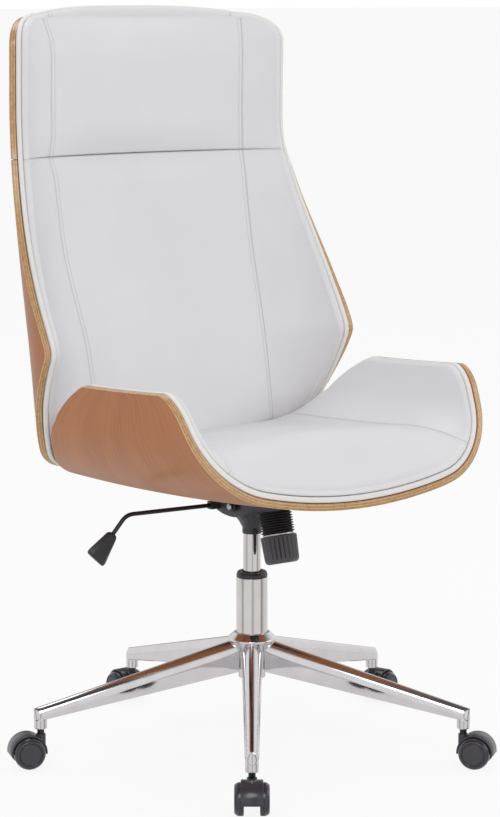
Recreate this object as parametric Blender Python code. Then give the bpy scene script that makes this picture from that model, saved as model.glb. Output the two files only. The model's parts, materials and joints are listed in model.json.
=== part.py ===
"""A high-back swivel office chair with bent-plywood shells, leather pads and a five-star base.

Metres, +Z up, the floor at z = 0. The sitter faces -Y. Every piece is drawn about the column's axis.
"""

import math

import bmesh
import bpy
from mathutils import Matrix, Vector

# The whole chair
COLUMN_Y = -0.0334
PIECE_GAP = 0.0003
WELD = 0.00002

# Casters
WHEEL_RADIUS = 0.025
WHEEL_SIDES = 16
WHEEL_HALF_GAP = 0.012
WHEEL_THICKNESS = 0.0148
WHEEL_SHOULDER = 0.0046
AXLE_RADIUS = 0.0029
AXLE_CLEARANCE = 0.0003
AXLE_WALL = 0.0036
CASTER_TRAIL = 0.0218
HOOD_GAP = 0.0019
HOOD_WALL = 0.0021
HOOD_HALF_WIDTH = 0.0168
HOOD_DIP = 6.0
HOOD_WEB = 0.0095
STEM_RADIUS = 0.0055
STEM_BOSS_WALL = 0.0023
STEM_BOSS_TOP = 0.0515
STEM_FOOT = 0.0343

# Star base
ARM_COUNT = 5
ARM_REACH = 0.350
ARM_ROOT = 0.030
ARM_ROOT_WIDTH = 0.0335
ARM_END_WIDTH = 0.0212
ARM_ROOT_TOP = 0.1800
ARM_END_TOP = 0.0954
ARM_ROOT_CREASE = 0.1567
ARM_END_CREASE = 0.0799
ARM_ROOT_BOTTOM = 0.1285
ARM_END_BOTTOM = 0.0746
ARM_WALL = 0.0035
ARM_CHANNEL_START = 0.046
ARM_CHANNEL_END = 0.325
ARM_DRAFT = 0.92
ARM_END_ANGLES = (0.0, 38.0, 70.0)
ARM_ARCH_STEPS = 6
SOCKET_BOTTOM = 0.0605
SOCKET_RADIUS = 0.0101
SOCKET_DEPTH = 0.0266
HUB_TOP = 0.191
HUB_FLANGE_TOP = 0.181
HUB_FLANGE_RADIUS = 0.039
HUB_RADIUS = 0.0325
HUB_SKIRT = 0.1334
HUB_BOTTOM = 0.1166
HUB_BOSS_RADIUS = 0.0215
HUB_FLOOR = 0.0219

# Column and gas lift
TUBE_RADIUS = 0.025
TUBE_WALL = 0.002
TUBE_TOP = 0.281
TUBE_FLOOR = 0.004
COLLAR_LIP = 0.009
COLLAR_RADIUS = 0.0243
COLLAR_DEPTH = 0.056
CYLINDER_RADIUS = 0.014
CYLINDER_BOTTOM = 0.210
CYLINDER_WALL = 0.0035
CYLINDER_HEAD = 0.0275
BUTTON_RADIUS = 0.004
BUTTON_HEIGHT = 0.018
PISTON_ROD_RADIUS = 0.005
PISTON_TOP = 0.280
PISTON_HEIGHT = 0.010

# Tilt housing
SOCKET_MOUTH = 0.3524
NECK_TOP = 0.362
NECK_RADIUS = 0.0155
CONE_SEAT = 0.0203
HOUSING_HALF_WIDTH = 0.047
HOUSING_FRONT = 0.088
HOUSING_REAR = 0.054
HOUSING_SIDE_Z = 0.385
HOUSING_REAR_Z = 0.3925
HOUSING_FRONT_Z = 0.4030
HOUSING_RIM_Z = 0.411
HOUSING_WALL = 0.003
HOUSING_SIDES = 20
PIVOT_Y = -0.017
PIVOT_Z = 0.404
PIVOT_RADIUS = 0.004
PIVOT_HEAD = 0.0055
TILT_MOST = 10.0

# Lever
LEVER_Y = 0.030
LEVER_Z = 0.399
LEVER_HINGE_X = -0.0455
LEVER_ROOT_X = -0.036
LEVER_BEND = (-0.220, 0.4018)
LEVER_KNEE = (-0.2451, 0.3742)
LEVER_TIP = (-0.2788, 0.3378)
LEVER_RADIUS = 0.0034
BUSH_X = (-0.062, -0.042)
BUSH_WALL = 0.0022
HANDLE_TOP_WIDTH = 0.0165
HANDLE_WIDTH = 0.0405
HANDLE_THICKNESS = 0.013

# Tension knob, spring and boot, along an axis that leans back at its top
BOLT_Y = -0.061
BOLT_Z = 0.397
BOLT_LEAN = 15.0
BOLT_RADIUS = 0.004
BOLT_LENGTH = 0.066
BOLT_PIN_RISE = 0.0125
BOLT_PIN_HALF = 0.011
BOOT_RADIUS = 0.0270
BOOT_VALLEY = 0.0245
BOOT_BORE = 0.0215
BOOT_LENGTH = 0.0362
BOOT_RIBS = 7
BOOT_SIDES = 12
SPRING_RADIUS = 0.016
SPRING_WIRE = 0.0022
SPRING_TURNS = 5
WASHER_RADIUS = 0.0245
WASHER_THICKNESS = 0.002
KNOB_TOP_RADIUS = 0.0290
KNOB_BOTTOM_RADIUS = 0.0272
KNOB_LENGTH = 0.0445
KNOB_FLUTES = 16

# Seat plate
PLATE_HALF_WIDTH = 0.060
PLATE_FRONT = -0.115
PLATE_REAR = 0.022
PLATE_THICKNESS = 0.003
PLATE_GAP = 0.0005
EAR_THICKNESS = 0.003
EAR_HALF_LENGTH = 0.011
EAR_DROP = 0.0085
STIRRUP_WALL = 0.0025
STIRRUP_RUN = 0.0085
STIRRUP_FLOOR = BOLT_PIN_RISE - BOLT_RADIUS - PIECE_GAP - STIRRUP_WALL
PLATE_BOLTS = ((-0.04, -0.095), (0.04, -0.095), (-0.034, 0.008), (0.034, 0.008))
BOLT_HEAD = 0.0055
BOLT_HEAD_HEIGHT = 0.004
SHANK_RADIUS = 0.003
SHANK_GRIP = 0.007

# Seat shell, by the arc length across it from its middle
SEAT_PLY = 0.011
SEAT_HEIGHT = 0.4235
SEAT_SLOPE = -0.044
SEAT_SAG = 0.0078
SEAT_SAG_SPAN = 0.28
SEAT_MIDDLE_RADIUS = 0.762
SEAT_MIDDLE_HALF = 0.178
SEAT_CORNER_RADIUS = 0.141
SEAT_WALL_ANGLE = 80.5
SEAT_GIRTH = 0.405
SEAT_SEAM = 0.258
SEAT_FRONT = -0.285
SEAT_SWEEP = 0.0941
SEAT_SWEEP_START = 0.150
SEAT_SWEEP_POWER = 1.65
SEAT_REAR_LINE = 0.464
SEAT_WING_CORNER = 0.040
SEAT_WING_CORNER_RUN = 0.024

# Back shells, by the arc length across them from their middle
BACK_PLY = 0.0105
BACK_SPINE = (
    (0.4300, 0.2800),
    (0.4900, 0.2835),
    (0.5700, 0.2945),
    (0.6500, 0.3070),
    (0.7300, 0.3220),
    (0.8000, 0.3345),
    (0.8720, 0.3460),
    (0.9200, 0.3530),
    (0.9600, 0.3580),
    (1.0100, 0.3605),
    (1.1000, 0.3590),
    (1.1900, 0.3570),
)
BACK_MIDDLE_RADIUS = 0.55
BACK_MIDDLE_HALF = 0.2003
BACK_CORNER_RADIUS = 0.147
BACK_SEAM = 0.213
BACK_BOTTOM = 0.4405
BACK_TOP = 0.9425
BACK_OUTLINE = (
    (0.4405, 0.2540),
    (0.5405, 0.3206),
    (0.6235, 0.3775),
    (0.6455, 0.3895),
    (0.6700, 0.3860),
    (0.7368, 0.3600),
    (0.8580, 0.3155),
    (BACK_TOP, 0.2922),
)
BACK_CORNER = (0.080, 0.052)
PANEL_GAP = 0.0025
BACK_PLY_SHY = 0.005
HEADREST_TOP = 1.1745
HEADREST_GIRTH = 0.2875
HEADREST_FLARE = 0.0045
HEADREST_FLARE_RUN = 0.045
HEADREST_CORNER = (0.083, 0.049)
HEADREST_CORNER_ANGLES = (0.0, 27.0, 51.0, 72.0, 90.0)
HEADREST_CROWN = 0.0115

# Liners: leather-wrapped boards between the plywood and the pads
LINER = 0.010
LINER_GAP = 0.0009
LINER_INSET = 0.0008
LINER_ROUND = 0.0022

# Pads
SEAT_PAD_GAP = 0.0008
BACK_PAD_GAP = 0.0018
HEADREST_PAD_GAP = 0.0011
PAD_INSET = 0.0035
PAD_EDGE = 0.009
PAD_ROUND = 0.007
SEAM_SINK = 0.0022
SEAT_PAD_HEIGHT = 0.079
SEAT_PAD_TAPER = 0.09
SEAT_PAD_POWER = 1.8
SEAT_PAD_NOSE = 0.13
SEAT_PAD_REAR = 0.143
SEAT_PAD_REAR_SPREAD = 0.027
BACK_PAD_HEIGHTS = (
    (0.4455, 0.123),
    (0.4945, 0.120),
    (0.5775, 0.090),
    (0.6735, 0.068),
    (0.7855, 0.042),
    (0.8455, 0.034),
    (BACK_TOP, 0.032),
)
BACK_PAD_TOP_ROUND = 0.11
HEADREST_PAD_HEIGHT = 0.049
HEADREST_PAD_ROUND = 0.075

# Back bracket, a flat bar bent under the seat and up behind the back
BAR_HALF_WIDTH = 0.030
BAR_THICKNESS = 0.005
BAR_START_Y = 0.064
BAR_TOP = 0.580
BAR_BEND = 0.012
BAR_GAP = 0.0005
BAR_SEAT_SCREWS = (0.085, 0.200)
BAR_BACK_SCREWS = (0.475, 0.540)

ARM_TURNS = {
    "front_right": -36.0,
    "front_left": 36.0,
    "side_right": -108.0,
    "side_left": 108.0,
    "rear": 180.0,
}


# Materials

def material(name, colour, roughness, metallic=0.0):
    made = bpy.data.materials.new(name)
    made.use_nodes = True
    shader = made.node_tree.nodes["Principled BSDF"]
    shader.inputs["Base Color"].default_value = (*colour, 1.0)
    shader.inputs["Roughness"].default_value = roughness
    shader.inputs["Metallic"].default_value = metallic
    made.diffuse_color = (*colour, 1.0)
    return made


def make_materials():
    return {
        "walnut": material("walnut_veneer", (0.42, 0.20, 0.09), 0.35),
        "leather": material("white_leather", (0.72, 0.71, 0.73), 0.5),
        "chrome": material("polished_aluminium", (0.80, 0.79, 0.78), 0.12, 1.0),
        "steel": material("zinc_steel", (0.62, 0.62, 0.62), 0.35, 1.0),
        "black_steel": material("black_steel", (0.02, 0.02, 0.022), 0.4, 0.6),
        "grey_plastic": material("dark_grey_plastic", (0.06, 0.06, 0.07), 0.45),
        "black_plastic": material("black_plastic", (0.02, 0.02, 0.022), 0.5),
        "rubber": material("black_rubber", (0.015, 0.015, 0.015), 0.7),
        "casting": material("grey_casting", (0.07, 0.07, 0.075), 0.5, 0.3),
    }


# Mesh building

def mesh_of(name, points, faces):
    """A closed mesh from points and faces, with its faces turned outward."""
    mesh = bpy.data.meshes.new(name)
    mesh.from_pydata([tuple(p) for p in points], [], faces)
    work = bmesh.new()
    work.from_mesh(mesh)
    bmesh.ops.remove_doubles(work, verts=work.verts, dist=1e-7)
    bmesh.ops.recalc_face_normals(work, faces=work.faces)
    work.to_mesh(mesh)
    work.free()
    return mesh


def revolved(name, profile, sides, start=0.0):
    """A solid of revolution about Z; a profile point on the axis becomes a pole."""
    points = []
    rings = []
    for radius, height in profile:
        if radius == 0.0:
            rings.append([len(points)])
            points.append((0.0, 0.0, height))
            continue
        rings.append(list(range(len(points), len(points) + sides)))
        for side in range(sides):
            angle = start + 2.0 * math.pi * side / sides
            points.append((radius * math.cos(angle), radius * math.sin(angle), height))
    faces = []
    open_profile = len(rings[0]) == 1
    pairs = list(zip(rings, rings[1:]))
    if not open_profile:
        pairs.append((rings[-1], rings[0]))
    for low, high in pairs:
        for side in range(sides):
            after = (side + 1) % sides
            if len(low) == 1 and len(high) == 1:
                continue
            if len(low) == 1:
                faces.append((low[0], high[after], high[side]))
            elif len(high) == 1:
                faces.append((low[side], low[after], high[0]))
            else:
                faces.append((low[side], low[after], high[after], high[side]))
    return mesh_of(name, points, faces)


def lofted(name, sections):
    """A solid through closed sections with equal counts of points, capped at both ends."""
    count = len(sections[0])
    points = [p for section in sections for p in section]
    faces = [tuple(range(count)), tuple(range(len(points) - count, len(points)))]
    for step in range(len(sections) - 1):
        low = step * count
        for at in range(count):
            after = (at + 1) % count
            faces.append((low + at, low + after, low + count + after, low + count + at))
    return mesh_of(name, points, faces)


def prism(name, outline, low, high, axis="Z"):
    """An outline extruded along one axis."""
    order = {
        "X": lambda a, b, h: (h, a, b),
        "Y": lambda a, b, h: (a, h, b),
        "Z": lambda a, b, h: (a, b, h),
    }[axis]
    return lofted(name, [[order(a, b, h) for a, b in outline] for h in (low, high)])


def block(name, low, high):
    outline = ((low[0], low[1]), (high[0], low[1]), (high[0], high[1]), (low[0], high[1]))
    return prism(name, outline, low[2], high[2])


def moved(mesh, matrix):
    mesh.transform(matrix)
    return mesh


def turned_to(direction, centre):
    """The placement that takes local +Z to a direction and the origin to a centre."""
    turn = Vector(direction).to_track_quat("Z", "Y").to_matrix().to_4x4()
    return Matrix.Translation(centre) @ turn


def rod_between(name, start, end, radius, sides=12):
    start = Vector(start)
    end = Vector(end)
    mesh = revolved(name, ((0.0, 0.0), (radius, 0.0), (radius, (end - start).length),
                           (0.0, (end - start).length)), sides)
    return moved(mesh, turned_to(end - start, start))


def combined(name, base, *steps):
    """The mesh left after a row of exact Booleans, each an operation and a tool mesh."""
    scene = bpy.context.scene
    work = bpy.data.objects.new(name, base)
    scene.collection.objects.link(work)
    tools = []
    for operation, tool_mesh in steps:
        tool = bpy.data.objects.new(name + "_tool", tool_mesh)
        scene.collection.objects.link(tool)
        tool.hide_render = True
        tool.display_type = "WIRE"
        tools.append(tool)
        modifier = work.modifiers.new(operation.lower(), "BOOLEAN")
        modifier.operation = operation
        modifier.solver = "EXACT"
        modifier.object = tool
    bpy.context.view_layer.update()
    graph = bpy.context.evaluated_depsgraph_get()
    result = bpy.data.meshes.new_from_object(work.evaluated_get(graph))
    result.name = name
    tidy = bmesh.new()
    tidy.from_mesh(result)
    bmesh.ops.remove_doubles(tidy, verts=tidy.verts, dist=WELD)
    bmesh.ops.dissolve_degenerate(tidy, edges=tidy.edges, dist=WELD)
    tidy.to_mesh(result)
    tidy.free()
    for extra in (work, *tools):
        bpy.data.objects.remove(extra)
    return result


def add(name, mesh, made, parent, smooth=35.0):
    """Adds a finished mesh as the named sub-part, drawn from its parent's home."""
    thing = bpy.data.objects.new(name, mesh)
    bpy.context.scene.collection.objects.link(thing)
    thing.parent = parent
    thing.location = parent.get("home", (0.0, 0.0, 0.0))
    mesh.materials.clear()
    mesh.materials.append(made)
    mesh.shade_smooth()
    mesh.set_sharp_from_angle(angle=math.radians(smooth))
    return thing


def frame_empty(name, matrix, parent=None):
    empty = bpy.data.objects.new(name, None)
    bpy.context.scene.collection.objects.link(empty)
    empty.parent = parent
    empty.matrix_local = matrix
    return empty


def hinge_empty(name, place, parent):
    """An empty on a hinge's axis, whose pieces are drawn in its parent's frame."""
    empty = frame_empty(name, Matrix.Translation(place), parent)
    empty["home"] = [-value for value in place]
    return empty


def along(table, at):
    """A smooth curve through the rows of a table, read at one value."""
    last = len(table) - 1
    step = 0
    while step < last - 1 and at > table[step + 1][0]:
        step += 1
    x0, y0 = table[step]
    x1, y1 = table[step + 1]
    before = table[max(step - 1, 0)]
    after = table[min(step + 2, last)]
    slope0 = (y1 - before[1]) / (x1 - before[0])
    slope1 = (after[1] - y0) / (after[0] - x0)
    t = (at - x0) / (x1 - x0)
    h = x1 - x0
    return (
        (2 * t**3 - 3 * t**2 + 1) * y0
        + (t**3 - 2 * t**2 + t) * h * slope0
        + (3 * t**2 - 2 * t**3) * y1
        + (t**3 - t**2) * h * slope1
    )


# Bent sheets

SEAT_COLUMNS = (0.0, 0.27, 0.54, 0.79, 1.0)
SEAT_OUTER_COLUMNS = (0.29, 0.59, 0.77, 0.91, 1.0)
SEAT_ROWS = (0.0, 0.05, 0.14, 0.27, 0.44, 0.64, 0.84, 1.0)
BACK_INNER_COLUMNS = 4
BACK_OUTER_COLUMNS = 5
BACK_STRAIGHT_ROWS = (0.4705, 0.5405, 0.588, 0.6235, 0.6455, 0.67, 0.722, 0.790, 0.860, BACK_TOP)
HEADREST_STRAIGHT_ROWS = (0.975, 1.045, 1.1195)
EDGE_STRIP = 0.006
CORNER_ANGLES = (0.0, 38.0, 68.0, 90.0)


def seat_section(s):
    """Place and slope angle of the seat shell's outer face at an arc length from its middle."""
    tangent = math.asin(SEAT_MIDDLE_HALF / SEAT_MIDDLE_RADIUS)
    middle = SEAT_MIDDLE_RADIUS * tangent
    wall = math.radians(SEAT_WALL_ANGLE)
    corner = SEAT_CORNER_RADIUS * (wall - tangent)
    if s <= middle:
        angle = s / SEAT_MIDDLE_RADIUS
        return (
            SEAT_MIDDLE_RADIUS * math.sin(angle),
            SEAT_MIDDLE_RADIUS * (1 - math.cos(angle)),
            angle,
        )
    angle = tangent + min(s - middle, corner) / SEAT_CORNER_RADIUS
    x = SEAT_MIDDLE_HALF + SEAT_CORNER_RADIUS * (math.sin(angle) - math.sin(tangent))
    z = SEAT_MIDDLE_RADIUS * (1 - math.cos(tangent))
    z += SEAT_CORNER_RADIUS * (math.cos(tangent) - math.cos(angle))
    straight = max(0.0, s - middle - corner)
    return x + straight * math.cos(wall), z + straight * math.sin(wall), angle


def seat_run(y):
    """Height that the seat shell's slope and sag add along it."""
    return SEAT_SLOPE * y - SEAT_SAG * (1 - (y / SEAT_SAG_SPAN) ** 2)


def seat_place(s, y, lift):
    """A point over the seat shell's outer face, lifted square to its section."""
    x, z, angle = seat_section(abs(s))
    x -= lift * math.sin(angle)
    z += lift * math.cos(angle)
    return Vector((math.copysign(x, s), y, SEAT_HEIGHT + z + seat_run(y)))


def wing_corner(s):
    """How far the wing's top corners are drawn in near the shell's top edge."""
    into = max(0.0, s - (SEAT_GIRTH - SEAT_WING_CORNER)) / SEAT_WING_CORNER
    return SEAT_WING_CORNER_RUN * (1 - math.sqrt(max(0.0, 1 - into**2)))


def seat_front(s):
    swept = max(0.0, s - SEAT_SWEEP_START) / (SEAT_GIRTH - SEAT_SWEEP_START)
    return SEAT_FRONT + SEAT_SWEEP * swept**SEAT_SWEEP_POWER + wing_corner(s)


def back_face_y(x):
    """Depth of the back liner's face at a distance from the middle, just above the seat."""
    low = 0.0
    high = BACK_OUTLINE[2][1]
    for _ in range(30):
        g = (low + high) / 2
        if back_place(g, BACK_MEETS_SEAT, LINER).x < x:
            low = g
        else:
            high = g
    return back_place(low, BACK_MEETS_SEAT, LINER).y


SEAT_TO_BACK = 0.002
BACK_MEETS_SEAT = 0.450


def seat_rear(s):
    """Rear edge of the seat's layers: square to the back, then a slope up the wing."""
    sloped = SEAT_REAR_LINE - s - wing_corner(s)
    return min(sloped, back_face_y(seat_section(s)[0]) - SEAT_TO_BACK)


def seat_pad_rear(s):
    behind = SEAT_PAD_REAR + SEAT_PAD_REAR_SPREAD * min(1.0, (s / SEAT_SEAM) ** 2)
    return min(behind, seat_rear(s) - PAD_INSET)


def back_spine(z):
    """Depth of the back's middle line at a height."""
    return along(BACK_SPINE, z)


def back_place(g, z, lift):
    """A point off the back shell's inner face, lift towards the sitter."""
    tangent = math.asin(BACK_MIDDLE_HALF / BACK_MIDDLE_RADIUS)
    middle = BACK_MIDDLE_RADIUS * tangent
    side = abs(g)
    angle = min(side, middle) / BACK_MIDDLE_RADIUS
    x = BACK_MIDDLE_RADIUS * math.sin(angle)
    y = back_spine(z) - BACK_MIDDLE_RADIUS * (1 - math.cos(angle))
    if side > middle:
        angle = tangent + (side - middle) / BACK_CORNER_RADIUS
        x += BACK_CORNER_RADIUS * (math.sin(angle) - math.sin(tangent))
        y -= BACK_CORNER_RADIUS * (math.cos(tangent) - math.cos(angle))
    x -= lift * math.sin(angle)
    y -= lift * math.cos(angle)
    return Vector((math.copysign(x, g), y, z))


def rounded_rows(end_z, girth_at, corner, upward, angles):
    """Rows of height and half girth round the two corners at one end of a back panel."""
    width, height = corner
    rows = []
    for angle in angles:
        turn = math.radians(angle)
        z = end_z - upward * height * (1 - math.sin(turn))
        rows.append((z, girth_at(z) - width * (1 - math.cos(turn))))
    return rows


def back_girth(z):
    return along(BACK_OUTLINE, z)


def headrest_girth(z):
    """Half girth of the headrest: parallel sides that flare into the back panel below."""
    flare = max(0.0, 1 - (z - BACK_TOP) / HEADREST_FLARE_RUN)
    return HEADREST_GIRTH + HEADREST_FLARE * flare**2


def back_rows():
    rows = rounded_rows(BACK_BOTTOM, back_girth, BACK_CORNER, -1.0, CORNER_ANGLES)
    rows.reverse()
    return rows + [(z, back_girth(z)) for z in BACK_STRAIGHT_ROWS[1:]]


def headrest_rows():
    low = BACK_TOP + PANEL_GAP
    rows = [(z, headrest_girth(z)) for z in (low, *HEADREST_STRAIGHT_ROWS)]
    corners = rounded_rows(HEADREST_TOP, headrest_girth, HEADREST_CORNER, 1.0, HEADREST_CORNER_ANGLES)
    return rows + corners[1:]


def sheet(name, rows, columns, place, skins):
    """A solid between two grids of points, closed round its edge through rings of points.

    place(row, column, inset, lift) gives a point; skins run from the first face to the last, each an
    inset and a lift, where a lift may be a function of row and column. Triangles mirror about the middle.
    """

    def point(row, column, skin):
        inset, lift = skin
        value = lift(row, column) if callable(lift) else lift
        return place(row, column, inset, value)

    last_row = rows - 1
    border = [(0, c) for c in range(-columns, columns)]
    border += [(r, columns) for r in range(last_row)]
    border += [(last_row, c) for c in range(columns, -columns, -1)]
    border += [(r, -columns) for r in range(last_row, 0, -1)]
    points = []
    faces = []

    def grid(skin):
        index = {}
        for r in range(rows):
            for c in range(-columns, columns + 1):
                index[r, c] = len(points)
                points.append(point(r, c, skin))
        for r in range(last_row):
            for c in range(-columns, columns):
                a, b = index[r, c], index[r, c + 1]
                d, e = index[r + 1, c], index[r + 1, c + 1]
                if c >= 0:
                    faces.extend(((a, b, e), (a, e, d)))
                else:
                    faces.extend(((a, b, d), (b, e, d)))
        return [index[key] for key in border]

    loops = [grid(skins[0])]
    for skin in skins[1:-1]:
        loops.append(list(range(len(points), len(points) + len(border))))
        points.extend(point(r, c, skin) for r, c in border)
    loops.append(grid(skins[-1]))
    count = len(border)
    for low, high in zip(loops, loops[1:]):
        for at in range(count):
            after = (at + 1) % count
            faces.append((low[at], low[after], high[after]))
            faces.append((low[at], high[after], high[at]))
    return mesh_of(name, points, faces)


def seat_sheet(name, rear_edge, skins, sink_row=None):
    """A sheet over the seat shell between its front edge and a rear edge."""
    inner = len(SEAT_COLUMNS) - 1
    columns = inner + len(SEAT_OUTER_COLUMNS)

    def station(column, inset):
        side = abs(column)
        if side <= inner:
            return SEAT_SEAM * SEAT_COLUMNS[side]
        return SEAT_SEAM + (SEAT_GIRTH - inset - SEAT_SEAM) * SEAT_OUTER_COLUMNS[side - inner - 1]

    def place(row, column, inset, lift):
        whole = station(column, 0.0)
        front = seat_front(whole) + inset
        rear = rear_edge(whole) - inset
        y = front + (rear - front) * SEAT_ROWS[row]
        if inset > EDGE_STRIP:
            return seat_place(math.copysign(station(column, inset), column), y, lift)
        here = seat_place(math.copysign(whole, column), y, lift)
        if abs(column) < columns:
            return here
        before = station(columns - 1, 0.0)
        within = seat_place(math.copysign(before, column), y, lift)
        return here.lerp(within, inset / (whole - before))

    return sheet(name, len(SEAT_ROWS), columns, place, skins)


def back_station(girth, side):
    """Arc length of a column: even to the seam, then even from there to the edge."""
    seam = min(BACK_SEAM, 0.75 * girth)
    if side <= BACK_INNER_COLUMNS:
        return seam * side / BACK_INNER_COLUMNS
    return seam + (girth - seam) * (side - BACK_INNER_COLUMNS) / BACK_OUTER_COLUMNS


def back_sheet(name, rows, skins, crown=0.0, foot_inset=0.0, floor_of=None, head_inset=1.0):
    """A sheet over the back shell through rows of height and half girth."""
    columns = BACK_INNER_COLUMNS + BACK_OUTER_COLUMNS
    low = rows[0][0]
    high = rows[-1][0]

    def place(row, column, inset, lift):
        z, girth = rows[row]
        strip = inset <= EDGE_STRIP
        girth -= 0.0 if strip else inset
        g = back_station(girth, abs(column))
        share = (z - low) / (high - low)
        z = (low + inset * foot_inset) * (1 - share) + (high - inset * head_inset) * share
        if row == len(rows) - 1:
            z += crown * (1 - (g / girth) ** 3)
        if floor_of:
            z = floor_of(g, z)
        here = back_place(math.copysign(g, column), z, lift)
        if abs(column) < columns or not strip:
            return here
        before = back_station(girth, columns - 1)
        within = back_place(math.copysign(before, column), z, lift)
        return here.lerp(within, inset / (g - before))

    return sheet(name, len(rows), columns, place, skins)


# Seat layers

def screw_holes(places):
    """Tools that drill the clearance holes of screws, each a seat point and a direction."""
    holes = []
    for centre, direction in places:
        start = Vector(centre) - Vector(direction) * 0.02
        end = Vector(centre) + Vector(direction) * 0.03
        holes.append(("DIFFERENCE", rod_between("hole", start, end, SHANK_RADIUS + PIECE_GAP, 8)))
    return holes


def plate_bolt_places():
    places = []
    for x, y in PLATE_BOLTS:
        s = math.copysign(SEAT_MIDDLE_RADIUS * math.asin(abs(x) / SEAT_MIDDLE_RADIUS), x)
        under = seat_place(s, y, -PLATE_GAP - PLATE_THICKNESS)
        places.append((Vector((under.x, under.y, under.z)), Vector((0.0, 0.0, 1.0))))
    return places


def bar_seat_places():
    places = []
    for y in BAR_SEAT_SCREWS:
        under = seat_place(0.0, y, -BAR_GAP - BAR_THICKNESS)
        places.append((under, Vector((0.0, 0.0, 1.0))))
    return places


def bar_back_places():
    places = []
    for z in BAR_BACK_SCREWS:
        rise = Vector((back_spine(z + 0.01) - back_spine(z - 0.01), 0.02)).normalized()
        behind = back_spine(z) + (BACK_PLY + BAR_GAP + BAR_THICKNESS) / rise.y
        places.append((Vector((0.0, behind, z)), Vector((0.0, -rise.y, rise.x))))
    return places


def make_seat(made, parent):
    whole = seat_sheet("seat_shell", seat_rear, ((0.0, 0.0), (0.0, SEAT_PLY)))
    drilled = combined("seat_shell", whole, *screw_holes(plate_bolt_places() + bar_seat_places()))
    add("seat_shell", drilled, made["walnut"], parent, 30.0)

    low = SEAT_PLY + LINER_GAP
    top = SEAT_PLY + LINER
    liner = seat_sheet(
        "seat_liner",
        seat_rear,
        ((LINER_ROUND, low), (LINER_INSET, low + LINER_ROUND), (LINER_INSET, top - LINER_ROUND),
         (LINER_INSET + LINER_ROUND, top)),
    )
    add("seat_liner", liner, made["leather"], parent)

    base = top + SEAT_PAD_GAP
    inner = len(SEAT_COLUMNS) - 1

    def thickness(row, column):
        side = abs(column)
        if side <= inner:
            s = SEAT_SEAM * SEAT_COLUMNS[side]
        else:
            s = SEAT_SEAM + (SEAT_GIRTH - SEAT_SEAM) * SEAT_OUTER_COLUMNS[side - inner - 1]
        front = seat_front(s) + PAD_INSET
        y = front + (seat_pad_rear(s) - front) * SEAT_ROWS[row]
        crown = (1 - (s / SEAT_GIRTH) ** 2) ** SEAT_PAD_POWER
        nose = 1 - (1 - min(1.0, (y - front) / SEAT_PAD_NOSE)) ** 2
        height = SEAT_PAD_HEIGHT - SEAT_PAD_TAPER * y
        rise = PAD_EDGE + (height - PAD_EDGE) * crown * nose
        if side == inner:
            rise -= SEAM_SINK * nose
        return base + rise

    def shoulder(row, column):
        return base + 0.45 * (thickness(row, column) - base)

    pad = seat_sheet(
        "seat_pad",
        seat_pad_rear_outer,
        ((PAD_INSET, base), (PAD_INSET, shoulder), (PAD_INSET + PAD_ROUND, thickness)),
    )
    add("seat_pad", pad, made["leather"], parent, 60.0)


def seat_pad_rear_outer(s):
    return seat_pad_rear(s) + PAD_INSET


# Back layers

def seat_cover_height(x, y):
    """Height of the seat liner's face at a place, found by stepping along its section."""
    lift = SEAT_PLY + LINER
    low = 0.0
    high = SEAT_GIRTH
    for _ in range(30):
        s = (low + high) / 2
        if seat_place(s, y, lift).x < x:
            low = s
        else:
            high = s
    return seat_place(low, y, lift).z


PAD_OVER_SEAT = 0.004
PAD_FOOT_FADE = 0.540


def back_pad_floor(g, z):
    """Lifts the back pad's lower rows so that its foot follows the seat's curve."""
    foot = BACK_BOTTOM
    fade = PAD_FOOT_FADE
    if z >= fade:
        return z
    x = back_place(g, z, 0.0).x
    wanted = seat_cover_height(x, 0.2) + PAD_OVER_SEAT
    return z + (wanted - foot) * (fade - z) / (fade - foot)


def make_back(made, parent):
    lower = back_rows()
    upper = headrest_rows()
    skins = ((BACK_PLY_SHY, -BACK_PLY), (BACK_PLY_SHY, 0.0))
    shell = back_sheet("back_shell", lower, skins, head_inset=0.0)
    drilled = combined("back_shell", shell, *screw_holes(bar_back_places()))
    add("back_shell", drilled, made["walnut"], parent, 30.0)
    headrest = back_sheet("headrest_shell", upper, skins, HEADREST_CROWN)
    add("headrest_shell", headrest, made["walnut"], parent, 30.0)

    liner = back_sheet(
        "back_liner",
        lower + upper[1:],
        ((LINER_ROUND, LINER_GAP), (LINER_INSET, LINER_GAP + LINER_ROUND),
         (LINER_INSET, LINER - LINER_ROUND), (LINER_INSET + LINER_ROUND, LINER)),
        HEADREST_CROWN,
    )
    add("back_liner", liner, made["leather"], parent)

    make_pad("back_pad", lower, LINER + BACK_PAD_GAP, back_pad_height, made["leather"], parent,
             floor_of=back_pad_floor)
    make_pad("headrest_pad", upper, LINER + HEADREST_PAD_GAP, headrest_pad_height, made["leather"],
             parent, HEADREST_CROWN, 1.0)


def back_pad_height(z):
    top = BACK_TOP - PAD_INSET
    into = min(1.0, max(0.0, (top - z) / BACK_PAD_TOP_ROUND))
    return along(BACK_PAD_HEIGHTS, z) * (1 - (1 - into) ** 2)


def headrest_pad_height(z):
    low = BACK_TOP + PANEL_GAP + PAD_INSET
    near = min(z - low, HEADREST_TOP - PAD_INSET - z)
    into = min(1.0, max(0.0, near / HEADREST_PAD_ROUND))
    return HEADREST_PAD_HEIGHT * (1 - (1 - into) ** 2)


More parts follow.
